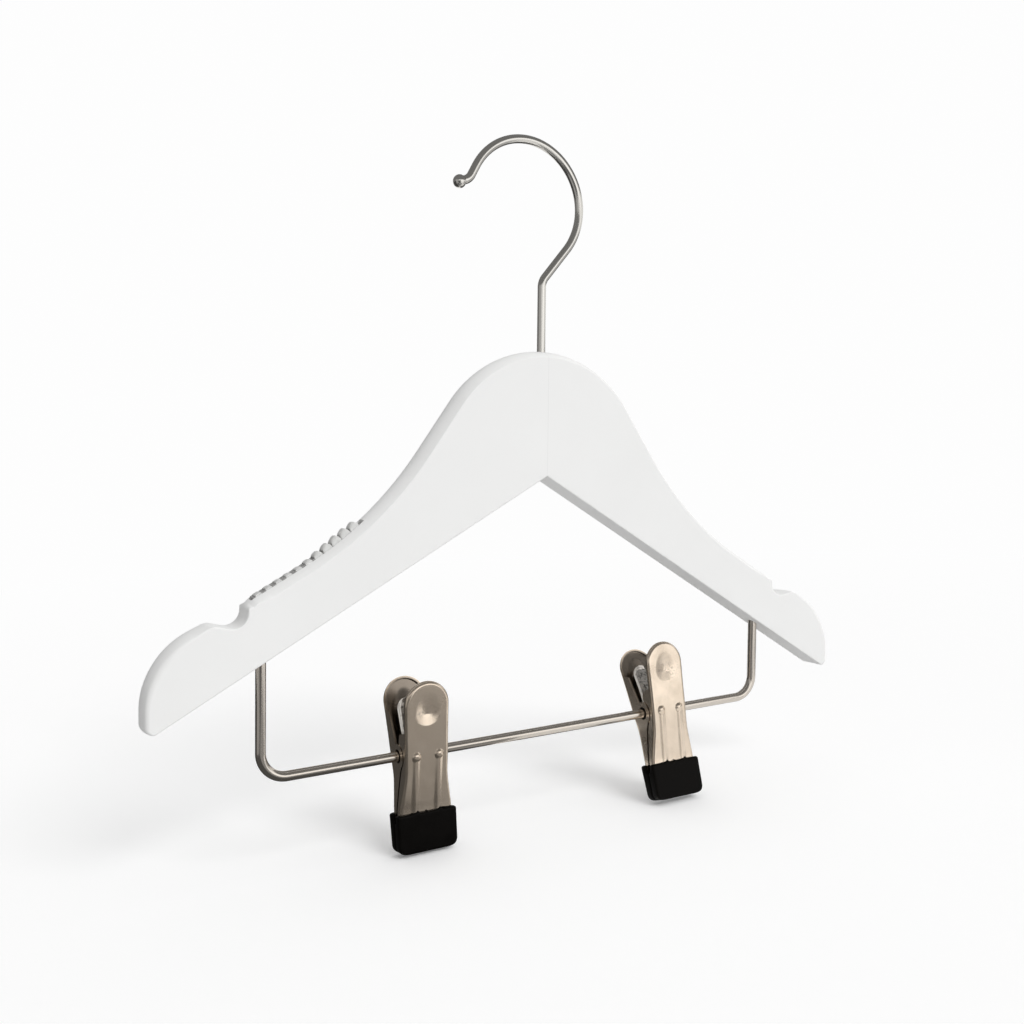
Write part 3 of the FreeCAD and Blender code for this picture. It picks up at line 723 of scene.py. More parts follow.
@dataclass(frozen=True)
class Shoulder:
    """Middle line of a shoulder, uphill from the notch: straight at first, then bent up round the neck."""

    notch: tuple[float, float] = (116.2, -168.361)
    slope: float = 30.0
    straight: float = 22.97
    neck_radius: float = 140.0

    def line(self, along: np.ndarray) -> tuple[np.ndarray, np.ndarray]:
        """Points and outward headings of the line.

        The heading falls evenly round the neck, and the arc's points follow from its sine and cosine.

        Args:
            along: distances from the notch in millimetres.

        Returns:
            Rows of x and z, and unit rows of the outward way.
        """
        past = np.clip(along - self.straight, 0.0, None) / self.neck_radius
        first = math.radians(180.0 - self.slope)
        heading = first - past
        run = np.minimum(along, self.straight)
        straight = run[:, None] * np.array([np.cos(first), np.sin(first)])
        sweep = np.stack([np.sin(first) - np.sin(heading), np.cos(heading) - np.cos(first)], axis=1)
        points = np.array(self.notch) + straight + self.neck_radius * sweep
        return points, np.stack([np.sin(heading), -np.cos(heading)], axis=1)


@dataclass
class Arm:
    """Painted arm: a board with a domed rim, crisp along the shoulder and rounder at the tip."""

    side: int
    shoulder: Shoulder = field(default_factory=Shoulder)
    thickness: float = 12.0
    half_width: float = 149.99
    crown_z: float = -76.9446
    apex_z: float = -124.9446
    crown_radius: float = 46.7
    flank: float = 55.0
    notch_depth: float = 9.0
    notch_width: float = 11.0
    wall_drop: float = 1.0
    wall_ease: float = 2.97
    lip_drop: float = 0.3
    lip_ease: float = 1.66
    tip_angle: float = 15.0
    tip_radius: float = 28.1
    wall_round: float = 2.6
    heel_round: float = 2.8
    dome_x: tuple[float, ...] = (108.0, 113.0, 115.2, 116.15, 127.0, 134.0, 147.0, 150.0)
    dome: tuple[float, ...] = (2.6, 1.8, 1.6, 0.4, 0.2, 1.5, 1.5, 1.0)
    soft_x: tuple[float, ...] = (108.0, 114.0, 129.0, 136.0, 145.0, 150.0)
    soft: tuple[float, ...] = (0.5, 0.4, 0.4, 1.0, 2.6, 1.8)
    crisp: float = 0.5
    lap: float = 0.4
    groove: tuple[float, float] = (2.58, 50.6)
    groove_half_width: float = 2.22
    groove_depth: float = 2.2

    def corners(self) -> list[tuple[float, float, float]]:
        """Corners of the outline from the crown over the notch and the tip to the apex.

        Returns:
            x, z and rounding radius of each corner of the right arm.
        """
        notch_x, notch_z = self.shoulder.notch
        slope = math.radians(self.shoulder.slope)
        neck_turn = math.radians(self.flank) - slope
        uphill = self.shoulder.straight + self.shoulder.neck_radius * math.tan(0.5 * neck_turn)
        crown_x = self.crown_radius * math.tan(math.radians(0.5 * self.flank))
        lip_x = notch_x + self.notch_width
        lip_z = notch_z - self.notch_width * math.tan(slope)
        fall = math.tan(math.radians(self.tip_angle))
        across = math.cos(slope)
        up = math.sin(slope)
        ease = self.wall_ease
        heel_z = self.apex_z - self.half_width * math.tan(slope)
        return [
            (0.0, self.crown_z, 0.0),
            (crown_x, self.crown_z, self.crown_radius),
            (notch_x - uphill * across, notch_z + uphill * up, self.shoulder.neck_radius),
            (notch_x - ease * across, notch_z + ease * up, 2.0),
            (notch_x, notch_z - self.wall_drop, self.wall_round),
            (notch_x, notch_z - self.notch_depth, 5.0),
            (lip_x, lip_z - self.lip_drop, 6.0),
            (lip_x + self.lip_ease, lip_z - self.lip_ease * fall, 2.0),
            (self.half_width, lip_z - (self.half_width - lip_x) * fall, self.tip_radius),
            (self.half_width, heel_z, self.heel_round),
            (0.0, self.apex_z, 0.0),
        ]

    def rim(self, path: Walk) -> tuple[np.ndarray, np.ndarray]:
        """Rise of the rim's dome, and radius of its rounds.

        Both follow x: the rim is domed on the shoulder, flat in the notch and soft at the tip. As the
        outline turns underneath, its heading going from -95 to -195 degrees, the rim goes over to a flat
        edge with crisp rounds.

        Args:
            path: outline of the arm.

        Returns:
            Columns of the rise and the radius at each point of the outline.
        """
        x = path.points[:, :1]
        turned = math.radians(-95.0) - path.headings[:, None]
        under = np.clip(turned / math.radians(100.0), 0.0, 1.0)
        soft = np.interp(x, self.soft_x, self.soft)
        dome = np.interp(x, self.dome_x, self.dome) * (1.0 - under)
        return dome, soft + (self.crisp - soft) * under

    def groove_cut(self, path: Walk, legs: list[Leg]) -> np.ndarray:
        """Depth of the groove for the strip.

        Args:
            path: outline of the arm.
            legs: legs of the outline; the first that turns left is the neck.

        Returns:
            Column of depths at each point of the outline, zero off the groove.
        """
        neck = next(number for number, leg in enumerate(legs) if leg.turn > 0.0)
        bend = sum(leg.length for leg in legs[:neck + 1])
        along = self.shoulder.straight + bend - path.lengths
        first, last = self.groove
        return self.groove_depth * ((along > first) & (along < last))[:, None]

    def rings(self) -> np.ndarray:
        """Sections of the rim, carried round the outline.

        A section starts on the front face, turns over a small round, crosses the edge on a parabola that
        is highest in the middle, and turns back the same way. Along the groove the middle lies deeper.

        Returns:
            Sections by points by x, y, z.
        """
        heading, legs = rounded(self.corners())
        path = walk((0.0, self.crown_z), heading, legs, 0.5)
        inward = np.stack([np.sin(path.headings), -np.cos(path.headings)], axis=1)
        # The last section stands in the plane of the joint, at x = 0
        inward[-1] = (0.0, 1.0 / math.cos(math.radians(self.shoulder.slope)))
        dome, soft = self.rim(path)
        half = 0.5 * self.thickness
        lean = np.arctan(2.0 * dome / half)
        turn = 0.5 * np.pi + (lean - 0.5 * np.pi) * np.linspace(0.0, 1.0, 8)
        edge = half - soft + soft * np.sin(lean)
        centre = dome * (edge / half) ** 2 + soft * np.cos(lean)
        into = centre - soft * np.cos(turn)
        out = half - soft + soft * np.sin(turn)
        beside = edge * np.array([0.85, 0.7, 0.55])
        middle = self.groove_half_width * np.array([-1.05, -1.0, -0.5, 0.0, 0.5, 1.0, 1.05])
        across = np.concatenate([-beside, np.tile(middle, (len(dome), 1)), beside[:, ::-1]], axis=1)
        crest = dome * (across / half) ** 2
        # The five columns in the middle lie in the groove
        crest[:, 4:-4] += self.groove_cut(path, legs)
        face = np.full((len(dome), 1), half)
        start = centre + self.lap
        depth = np.concatenate([start, into, crest, into[:, ::-1], start], axis=1)
        y = np.concatenate([-face, -out, across, out[:, ::-1], face], axis=1)
        flat = path.points[:, None] + inward[:, None] * depth[:, :, None]
        rings = np.stack([self.side * flat[:, :, 0], y, flat[:, :, 1]], axis=2)
        return rings[:, ::-1] if self.side > 0 else rings

    def build(self, node: str) -> None:
        """Draw the arm in place of its CAD solid.

        Args:
            node: CAD node that the arm stands for.
        """
        skin = Skin()
        skin.board(self.rings())
        fit(skin.build(node + "_board", 35.0), "hanger_frame", node, Look.painted_wood)


@dataclass
class Hook:
    """Bent wire hook with an upset head inside the wood and a ball at its open end."""

    wire: float = 3.3
    loop_radius: float = 24.2
    loop_centre: tuple[float, float] = (-7.7, -21.195)
    bend_z: float = -52.045
    bend_radius: float = 6.0
    loop_end: float = 151.8
    lead: float = 4.1
    curl_radius: float = 4.8
    curl_turn: float = 41.3
    tail: float = 2.5
    ball: float = 5.0
    head: float = 5.6
    head_height: float = 2.0

    def path(self) -> Walk:
        """Path up the stem, right round the kink, left round the loop, and out to the ball.

        Returns:
            The path in x and z.
        """
        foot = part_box("hook")[0].z / MM
        across = self.loop_centre[0] - self.bend_radius
        up = self.loop_centre[1] - self.bend_z
        reach = math.hypot(across, up)
        radii = self.bend_radius + self.loop_radius
        slant = math.degrees(math.atan2(up, across) - math.asin(radii / reach))
        legs = [
            Leg(self.bend_z - foot),
            arc(self.bend_radius, slant - 90.0),
            Leg(math.sqrt(reach ** 2 - radii ** 2)),
            arc(self.loop_radius, self.loop_end + 90.0 - slant),
            Leg(self.lead),
            arc(self.curl_radius, -self.curl_turn),
            Leg(self.tail),
            Leg(0.499 * self.ball),
        ]
        return walk((0.0, foot), 90.0, legs, 0.35)

    def build(self) -> None:
        """Draw the wire, its head and its ball as one turned radius along the path."""
        path = self.path()
        centre = path.lengths[-1] - 0.499 * self.ball
        past = np.clip(1.0 - ((path.lengths - centre) / (0.5 * self.ball)) ** 2, 0.0, None)
        sphere = 0.5 * self.ball * np.sqrt(past)
        plain = np.where(path.lengths < centre, 0.5 * self.wire, 0.0)
        head = np.where(path.lengths < self.head_height, 0.5 * self.head, 0.0)
        piece = wire_piece("hook_wire", path, np.maximum.reduce([sphere, plain, head]))
        fit(piece, "hook", "hook", Look.hook_wire)


@dataclass
class ClipBar:
    """Wire bent to a U, with its two ends in the arms and its low run tilted up to the right."""

    wire: float = 3.7
    half_width: float = 110.0
    top_z: float = -174.453
    middle_z: float = -225.3446
    tilt: float = 2.47
    bend_radius: float = 9.0

    def point_z(self, place: float) -> float:
        """Height of the bar's axis at a place along X."""
        return self.middle_z + place * math.tan(math.radians(self.tilt))

    def path(self) -> Walk:
        """Path down the left post, along the bar and up the right post.

        Returns:
            The path in x and z.
        """
        ends = (-self.half_width, self.half_width)
        low = [(place, self.point_z(place), self.bend_radius) for place in ends]
        heading, legs = rounded([(ends[0], self.top_z, 0.0)] + low + [(ends[1], self.top_z, 0.0)])
        return walk((ends[0], self.top_z), heading, legs, 0.5)

    def build(self) -> None:
        """Draw the bar as one wire."""
        path = self.path()
        piece = wire_piece("clip_bar_wire", path, np.full(len(path.lengths), 0.5 * self.wire))
        fit(piece, "hanger_frame", "clip_bar", Look.bar_wire)


@dataclass
class GripStrip:
    """Strip of soft nubs in the groove on a shoulder, sprung out of it at its upper end by `lift`."""

    side: int
    lift: float
    shoulder: Shoulder = field(default_factory=Shoulder)
    start: float = 3.4
    length: float = 45.0
    width: float = 4.4
    floor: float = -2.18
    ledge: float = -0.05
    nub_top: float = 0.4
    nubs: int = 11
    sprung_share: tuple[float, ...] = (0.45, 0.6, 0.75, 0.9, 1.0)
    sprung_level: tuple[float, ...] = (0.0, 0.6, 1.0, 1.0, 0.6)
    tooth_lean: float = 0.4
    nub_fill: float = 0.6
    web_rise: float = 0.2

    def rings(self) -> tuple[np.ndarray, np.ndarray]:
        """Sections of the strip: a flat base with a row of domes on it.

        A dome's height falls as the root of one minus a power of the distance from its peak along the
        strip, and of the distance from the middle across it. Where the strip has sprung up, the domes
        grow into teeth: they stand higher, fill their spacing, and their peaks lean uphill.

        Returns:
            Rings by points by x, y, z, and how far each point is up a dome, from 0 to 1.
        """
        along = np.linspace(0.0, self.length, 441)
        pitch = self.length / self.nubs
        count = np.minimum(np.floor(along / pitch), self.nubs - 1)
        share = (count + 0.5) / self.nubs
        sprung = np.interp(share, self.sprung_share, self.sprung_level) * (self.lift > 0.0)
        place = (along - count * pitch) / (0.5 * pitch) - 1.0
        peak = self.tooth_lean * sprung
        away = np.where(place < peak, (peak - place) / (1.0 + peak), (place - peak) / (1.0 - peak))
        away /= self.nub_fill + (1.0 - self.nub_fill) * sprung
        dome = np.sqrt(np.clip(1.0 - away ** (2.6 - sprung), 0.0, None))
        across = np.linspace(-1.0, 1.0, 25)
        crown = np.sqrt(np.clip(1.0 - np.abs(across) ** 4, 0.0, None))
        web = self.ledge + self.web_rise * sprung
        height = self.nub_top + self.lift * sprung - web
        top = web[:, None] + (height * dome)[:, None] * crown
        base = np.full((len(along), 1), self.floor)
        heights = np.concatenate([base, top, base], axis=1)
        sides = 0.5 * self.width * np.concatenate([[-1.0], across, [1.0]])
        points, outward = self.shoulder.line(self.start + along)
        flat = points[:, None] + outward[:, None] * heights[:, :, None]
        depth = np.broadcast_to(sides, heights.shape)
        rings = np.stack([self.side * flat[:, :, 0], depth, flat[:, :, 1]], axis=2)
        up = np.broadcast_to(dome[:, None], heights.shape)
        return (rings if self.side > 0 else rings[:, ::-1]), up

    def build(self, node: str) -> None:
        """Draw the strip in place of its CAD solid.

        Args:
            node: CAD node that the strip stands for.
        """
        rings, up = self.rings()
        skin = Skin()
        skin.loft(rings)
        piece = skin.build(node + "_nubs", 50.0)
        mark(piece, "dome", up)
        fit(piece, "hanger_frame", node, Look.clear_rubber)


# Clips

@dataclass(frozen=True)
class ClipPlace:
    """Where a clip hangs on the bar, and how far it is tipped."""

    name: str
    place: float
    tilt: float
    bar: ClipBar

    @property
    def pivot(self) -> np.ndarray:
        """Middle of the clip's hinge, in millimetres."""
        return np.array([self.place, 0.0, self.bar.point_z(self.place)])

    @property
    def turn(self) -> np.ndarray:
        """Rotation from the clip's own axes to the hanger's: tipped about X, then with the bar about Y.

        Returns:
            Matrix of three rows.
        """
        tip = Matrix.Rotation(math.radians(-self.tilt), 3, "X")
        tilt = Matrix.Rotation(math.radians(-self.bar.tilt), 3, "Y")
        return np.array(tilt @ tip)

    def set_down(self, skin: Skin, back: bool) -> None:
        """Move a skin from the clip's own axes to the hanger's.

        Args:
            skin: skin to move.
            back: whether it is first turned half round, to the back.
        """
        around = np.diag([-1.0, -1.0, 1.0]) if back else np.eye(3)
        matrix = self.turn @ around
        skin.points = [points @ matrix.T + self.pivot for points in skin.points]


@dataclass
class JawShape:
    """Stamped jaw in a clip's own axes, with its face towards -Y and the hinge at the origin."""

    sheet: float = 0.8
    roll: float = 1.3
    face_z: tuple[float, ...] = (-34.3, -20.5, 0.0, 27.5)
    face_y: tuple[float, ...] = (2.5, 3.3, 7.75, 12.25)
    side_z: tuple[float, ...] = (-20.5, -8.0, 8.0, 18.7)
    side_x: tuple[float, ...] = (10.6, 8.6, 8.6, 8.8)
    top: float = 27.5
    foot: float = -34.3
    lobe_radius: float = 8.8
    rim: float = 1.8
    rim_step: float = 0.8
    foot_z: tuple[float, float] = (-20.8, -20.0)
    foot_y: tuple[float, float] = (-0.9, 9.0)
    outer_top: float = 16.5
    inner_top: float = 9.2
    fan: float = 0.345
    parting: float = 0.25
    ear: float = 4.6
    ear_share: float = 0.7
    ear_gap: float = 0.8
    ear_inset: float = 1.0
    ear_proud: float = 0.02
    ear_overlap: float = 0.2
    lug: float = 6.6
    hole: float = 2.55
    bead_place: float = 4.5
    dome_radius: float = 1.7
    dome_rise: float = 0.95
    rib_half_width: float = 1.9
    rib_rise: float = 0.55
    rib_start: tuple[float, float] = (-1.5, 0.5)
    dish_z: float = 15.5
    dish_half_width: float = 5.4
    dish_depth: float = 1.1
    dish_low: float = 4.3
    dish_high: float = 8.4
    dish_front: float = -7.0
    scuff_and_shade_reach: float = 1.8

    def depth(self, height: np.ndarray) -> np.ndarray:
        """Distance of the face in front of the hinge, at heights in millimetres."""
        return soft_steps(height, self.face_z, self.face_y)

    def half_width(self, height: np.ndarray) -> np.ndarray:
        """Half the jaw's width below its lobe, at heights in millimetres."""
        return soft_steps(height, self.side_z, self.side_x)

    def relief(self, across: np.ndarray, height: np.ndarray) -> tuple[np.ndarray, np.ndarray]:
        """How far the face stands in from its plane, and how much hammer speckle and painted shade it takes.

        At x = +-4.5 a round dome stands out at the hinge, and a soft rib of squared cosine section runs
        down from it. The dish is the upper half of an elliptic bowl, closed below by a straight edge
        from which a short slope climbs out to half an ellipse.

        Args:
            across: x of the points.
            height: z of the points.

        Returns:
            Depth inward in millimetres, and the share of hammer speckle and painted shade, from 0 to 1.
        """
        beside = np.abs(across) - self.bead_place
        away = np.hypot(beside, height) / self.dome_radius
        dome = self.dome_rise * np.clip(1.0 - away ** 2, 0.0, None) ** 0.6
        wave = np.cos(0.5 * np.pi * np.clip(beside / self.rib_half_width, -1.0, 1.0)) ** 2
        rib = self.rib_rise * wave * np.interp(height, self.rib_start, (1.0, 0.0))
        bowl = np.clip(1.0 - (across / self.dish_half_width) ** 2, 0.0, None)
        up = (height - self.dish_z) / self.dish_high
        down = (self.dish_z - height) / self.dish_low
        above = np.clip(bowl - up ** 2, 0.0, None) ** 2.0
        below = bowl ** 2.0 * np.clip(1.0 - down / np.sqrt(np.maximum(bowl, 1e-9)), 0.0, None)
        dish = np.where(up > 0.0, above, below)
        # The speckles heap up against the dish's straight edge, where they paint its shade
        near_edge = 0.2 + 0.8 * np.exp(-(up * self.dish_high / self.scuff_and_shade_reach) ** 2)
        right = np.clip(0.5 * (across - 1.0), 0.0, 1.0)
        scuff_and_shade = np.where(up > 0.0, np.clip(3.0 * above, 0.0, 1.0) * near_edge, 0.6 * right * (below > 0.0))
        return self.dish_depth * dish - np.maximum(dome, rib), scuff_and_shade

    def bulge(self, height: np.ndarray) -> np.ndarray:
        """How far an outer ear stands past the middle: round at the hinge, then fading down the flange.

        Below a share of the ear's radius the circle goes over, with no kink, into an exponential fall.

        Args:
            height: heights in millimetres.

        Returns:
            Distances past the middle in millimetres.
        """
        low = self.ear_share * self.ear
        start = math.sqrt(self.ear ** 2 - low ** 2)
        round_ = np.sqrt(np.clip(self.ear ** 2 - height ** 2, 0.0, None))
        tail = start * np.exp(np.minimum(low / start ** 2 * (height + low), 0.0))
        return np.where(height > -low, round_, tail)

    def flange_end(self, height: np.ndarray, outer: bool) -> np.ndarray:
        """Depth at which a side flange ends.

        Above the hinge the end fans out from the middle, up to a step where only the rim goes on. Below
        it the flange with the outer ear follows the bulge past the middle, and the other stays clear.

        Args:
            height: heights in millimetres.
            outer: whether the flange carries the outer ear.

        Returns:
            y of the flange's end.
        """
        lean = -np.maximum(self.parting, self.fan * height)
        top = self.outer_top if outer else self.inner_top
        share = np.interp(height, [top - self.rim_step, top], [0.0, 1.0])
        upper = lean * (1.0 - share) + (self.rim - self.depth(height)) * share
        round_cut = -np.sqrt(np.clip((self.ear - self.ear_overlap) ** 2 - height ** 2, 0.0, None))
        if outer:
            near = np.abs(height) < self.ear_share * self.ear
            end = np.where(near, round_cut, np.where(height > 0.0, upper, self.bulge(height) - self.parting))
        else:
            clear = np.sqrt(np.clip((self.ear + self.ear_gap) ** 2 - height ** 2, 0.0, None))
            end = np.where(height > 0.0, np.minimum(upper, -clear), -self.bulge(height) - self.ear_gap)
        return np.minimum(end, np.interp(height, self.foot_z, self.foot_y))

    def grid(self) -> tuple[np.ndarray, int]:
        """Outer side of the jaw from the end of one flange across the face to the end of the other.

        Rows climb from the foot to the top of the round lobe, where they shrink towards a point. In
        a row the face runs flat, a quarter round of radius `roll` turns it back, and the flange goes
        on straight to its end.

        Returns:
            Rows by columns by x, y, z, and the number of columns in one flange and roll.
        """
        knots = [self.foot, -22.0, -3.0, 3.0, 9.0]
        spans = [np.linspace(a, b, n, endpoint=False) for a, b, n in zip(knots, knots[1:], (16, 40, 20, 14))]
        centre = self.top - self.lobe_radius
        straight = np.concatenate(spans + [np.linspace(9.0, centre, 34, endpoint=False)])
        round_ = np.linspace(0.5 * np.pi, math.radians(2.5), 46)
        edge_x = np.concatenate([self.half_width(straight), self.lobe_radius * np.sin(round_)])
        edge_z = np.concatenate([straight, centre + self.lobe_radius * np.cos(round_)])
        way_x = np.concatenate([np.ones_like(straight), np.sin(round_)])
        way_z = np.concatenate([np.zeros_like(straight), np.cos(round_)])
        inset_x = edge_x - way_x * self.roll
        inset_z = edge_z - way_z * self.roll
        share = np.linspace(-1.0, 1.0, 83)
        face_x = inset_x[:, None] * share
        face_z = np.repeat(inset_z[:, None], len(share), axis=1)
        face_y = self.relief(face_x, face_z)[0] - self.depth(face_z)
        face = np.stack([face_x, face_y, face_z], axis=2)
        bend = np.linspace(0.0, 0.5 * np.pi, 7)[1:]
        out = self.roll * np.sin(bend)
        start = -self.depth(inset_z)
        back = start[:, None] + self.roll * (1.0 - np.cos(bend))
        sides = []
        for way in (-1.0, 1.0):
            run = np.linspace(0.0, 1.0, 9)[1:]
            end = np.maximum(self.flange_end(edge_z, way > 0.0), back[:, -1] + 0.05)
            flange_y = back[:, -1:] + (end - back[:, -1])[:, None] * run
            side_y = np.concatenate([back, flange_y], axis=1)
            reach = np.concatenate([out, np.full(len(run), self.roll)])
            side_x = way * (inset_x[:, None] + way_x[:, None] * reach)
            side_z = inset_z[:, None] + way_z[:, None] * reach
            sides.append(np.stack([side_x, side_y, side_z], axis=2))
        left = sides[0][:, ::-1]
        return np.concatenate([left, face, sides[1]], axis=1), left.shape[1]

    def skin(self) -> Skin:
        """Sheet of the jaw with its two hinge ears.

        Returns:
            The skin in the clip's own axes.
        """
        skin = Skin()
        grid, fold = self.grid()
        skin.sheet(grid, self.sheet, fold)
        circle = unit_circle(72)
        outer = float(self.half_width(np.zeros(1))[0]) + self.ear_proud
        skin.plate((outer, 1.0), self.hole * circle, self.ear * circle, self.sheet)
        with np.errstate(divide="ignore"):
            reach = np.minimum(self.ear / np.abs(circle[:, 1]), self.lug / np.abs(circle[:, 0]))
        lug = np.where(circle[:, 0] < 0.0, reach, self.ear)[:, None] * circle
        skin.plate((self.ear_inset - outer, -1.0), self.hole * circle, lug, self.sheet)
        return skin


@dataclass
class TipShape:
    """Dipped rubber over a jaw's foot, in the clip's own axes, with its front towards -Y."""

    half_width: float = 11.8
    top: float = -20.9
    low: float = -35.5
    front_top: float = -4.5
    front_low: float = -3.7
    back: float = -0.1
    throat: float = -1.5
    throat_height: float = 3.5
    edge: float = 0.9
    corner: float = 3.0
    fin: float = 0.9
    fin_place: float = 4.5
    fin_left: float = 1.9
    fin_climb: float = 2.9
    fin_right: float = 1.5
    fin_fall: float = 0.5

    def skin(self) -> Skin:
        """Rounded rectangles stacked from the bottom to the top edge.

        Each ring is a rectangle with round corners. The rings draw in round the bottom corners and at
        the two ends, and each point's height stretches with the top edge, which climbs in two small
        fins over the ribs, each with a steep right end.

        Returns:
            The skin.
        """
        height = self.top - self.low
        ends = self.edge * (1.0 - np.cos(np.linspace(0.0, 0.5 * np.pi, 8)))
        plain = np.linspace(self.edge, height - self.edge, 40)[1:-1]
        rise = np.concatenate([ends, plain, height - ends[::-1]])
        shares = rise / height
        round_low = np.clip(self.corner - rise, 0.0, None)
        width = self.half_width - (self.corner - np.sqrt(self.corner ** 2 - round_low ** 2))
        near = np.clip(self.edge - np.minimum(rise, height - rise), 0.0, None)
        inset = 0.8 * (self.edge - np.sqrt(self.edge ** 2 - near ** 2))
        width -= inset
        front = self.front_low + (self.front_top - self.front_low) * shares + inset
        into = np.clip(rise - (height - self.throat_height), 0.0, 1.0)
        back = self.back + (self.throat - self.back) * into - inset
        radius = np.minimum(self.edge, 0.45 * (back - front))
        quarter = np.linspace(0.0, 0.5 * np.pi, 6)
        run = np.linspace(-1.0, 1.0, 53)[1:-1]
        sine = np.sin(quarter)
        cosine = np.cos(quarter)
        ones = np.ones_like(quarter)
        zeros = np.zeros_like(run)
        middle = np.concatenate([run, ones, ones, -run, -ones, -ones])
        lean_x = np.concatenate([zeros, sine, cosine, zeros, -sine, -cosine])
        lean_y = np.concatenate([zeros - 1.0, -cosine, sine, zeros + 1.0, cosine, -sine])
        parts = [len(run), len(quarter), len(quarter)] * 2
        at_back = np.repeat([False, False, True, True, True, False], parts)
        x = (width - radius)[:, None] * middle + radius[:, None] * lean_x
        y = np.where(at_back, (back - radius)[:, None], (front + radius)[:, None]) + radius[:, None] * lean_y
        place = np.minimum(np.abs(x - self.fin_place), np.abs(x + self.fin_place))
        place *= np.where(np.abs(x) > self.fin_place, np.sign(x), -np.sign(x))
        climb = np.clip((place + self.fin_left) / self.fin_climb, 0.0, 1.0) ** 1.5
        fall = np.clip((self.fin_right - place) / self.fin_fall, 0.0, 1.0)
        bump = self.fin * climb * fall * ~at_back
        z = self.low + rise[:, None] + bump * shares[:, None] ** 4
        skin = Skin()
        skin.loft(np.stack([x, y, z], axis=2))
        return skin


@dataclass
class SpringShape:
    """Strip bent to a U round the hinge, with a spoon-ended leg behind each jaw, in the clip's own axes."""

    width: float = 10.0
    thickness: float = 0.7
    radius: float = 3.15
    lean: float = 14.42
    top: float = 20.0
    corner: float = 4.6
    curl: float = 0.7
    curl_width: float = 0.9
    curl_fade: float = 9.0

    def skin(self) -> tuple[Skin, np.ndarray]:
        """Strip along its bent path, with round ends and a curled edge.

        The edge stands in from the strip by a bell curve of the distance from the nearest edge, which
        fades out towards the bend.

        Returns:
            The skin, and how far each point is inside the curled edge, from 0 to 1.
        """
        lean = math.radians(self.lean)
        start = (self.radius / math.cos(lean) + self.top * math.tan(lean), self.top)
        touch = (self.radius * math.cos(lean), -self.radius * math.sin(lean))
        leg = Leg(math.hypot(start[0] - touch[0], start[1] - touch[1]))
        bend = arc(self.radius, 2.0 * self.lean - 180.0)
        path = walk(start, -90.0 - self.lean, [leg, bend, leg], 0.25)
        near = np.minimum(path.lengths, path.lengths[-1] - path.lengths)[:, None]
        short = np.clip(self.corner - near, 0.0, None)
        half = 0.5 * self.width - (self.corner - np.sqrt(self.corner ** 2 - short ** 2))
        across = np.linspace(-1.0, 1.0, 25)
        edge = np.minimum(half * (1.0 - np.abs(across)), near)
        bell = np.exp(-(edge / self.curl_width) ** 2)
        fade = np.interp(near, [leg.length - self.curl_fade, leg.length], [1.0, 0.0])
        rise = 0.5 * self.thickness - self.curl * bell * fade
        x = half * across
        y = path.points[:, :1] - np.sin(path.headings)[:, None] * rise
        z = path.points[:, 1:] + np.cos(path.headings)[:, None] * rise
        skin = Skin()
        skin.sheet(np.stack([x, y, z], axis=2), self.thickness)
        return skin, np.tile((1.0 - bell).ravel(), 2)


@dataclass
class Clip:
    """One sprung clip: two jaws, two dipped tips, a spring between them and a bush on the bar."""

    spot: ClipPlace
    jaw: JawShape = field(default_factory=JawShape)
    tip: TipShape = field(default_factory=TipShape)
    spring: SpringShape = field(default_factory=SpringShape)
    bush_half: float = 8.0
    bush_radius: float = 2.5
    bush_bore: float = 1.9

    def build(self) -> None:
        """Build the jaws, tips, bush and spring in place of their CAD solids."""
        for half, body in (("front", "front"), ("back", "rear")):
            self.build_half(half, self.spot.name + "_" + body)
        self.build_bush()
        self.build_spring()

    def build_half(self, half: str, body: str) -> None:
        """Build one jaw and its tip.

        The jaw's first attribute marks hammer speckles and painted shade in its dish, and the inside one
        marks the second half of the sheet's points, its inner side, for painted shade.

        Args:
            half: front or back.
            body: body that they move with.
        """
        node = self.spot.name + "_" + half
        skin = self.jaw.skin()
        local = np.concatenate(skin.points)
        # Hammer speckles and painted shade in the dish, on the face side only
        scuff_and_shade = self.jaw.relief(local[:, 0], local[:, 2])[1] * (local[:, 1] < self.jaw.dish_front)
        sheet = len(skin.points[0])
        number = np.arange(len(local))
        self.spot.set_down(skin, half == "back")
        jaw = skin.build(node + "_jaw_sheet", 38.0)
        mark(jaw, "scuff_and_shade", scuff_and_shade)
        # The sheet's inner side gets painted shade
        mark(jaw, "inside", (number >= sheet // 2) & (number < sheet))
        fit(jaw, body, node + "_jaw", Look.jaw_steel)
        skin = self.tip.skin()
        self.spot.set_down(skin, half == "back")
        fit(skin.build(node + "_dip"), body, node + "_tip", Look.black_rubber)

    def build_bush(self) -> None:
        """Build the tube on the bar."""
        name = self.spot.name
        circle = unit_circle(48)
        skin = Skin()
        inside = self.bush_bore * circle
        skin.plate((self.bush_half, 1.0), inside, self.bush_radius * circle, 2.0 * self.bush_half)
        self.spot.set_down(skin, False)
        fit(skin.build(name + "_bush_tube"), name + "_carrier", name + "_bush", Look.black_plastic)

    def build_spring(self) -> None:
        """Build the spring in place of its CAD solid."""
        name = self.spot.name
        skin, dents_and_shade = self.spring.skin()
        self.spot.set_down(skin, False)
        spring = skin.build(name + "_spring_strip")
        # Dark speckles inside the curled edge paint the spring's reflections, over real dents in the bump
        mark(spring, "scuff_and_shade", dents_and_shade)
        dress(spring, Look.spring_steel)
        reach = self.spot.turn @ np.array([0.0, self.spring.radius, 0.0])
        start = tuple((self.spot.pivot + reach) * MM)
        end = tuple((self.spot.pivot - reach) * MM)
        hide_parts(name + "_spring")
        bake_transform(spring)


# Studio

@dataclass(frozen=True)
class Floor:
    """Plane under both clips: its height at x = 0 in metres, and how it rises with x."""

    level: float
    rise: float

    def z(self, x: np.ndarray) -> np.ndarray:
        """Height of the floor at places along X."""
        return self.level + self.rise * x


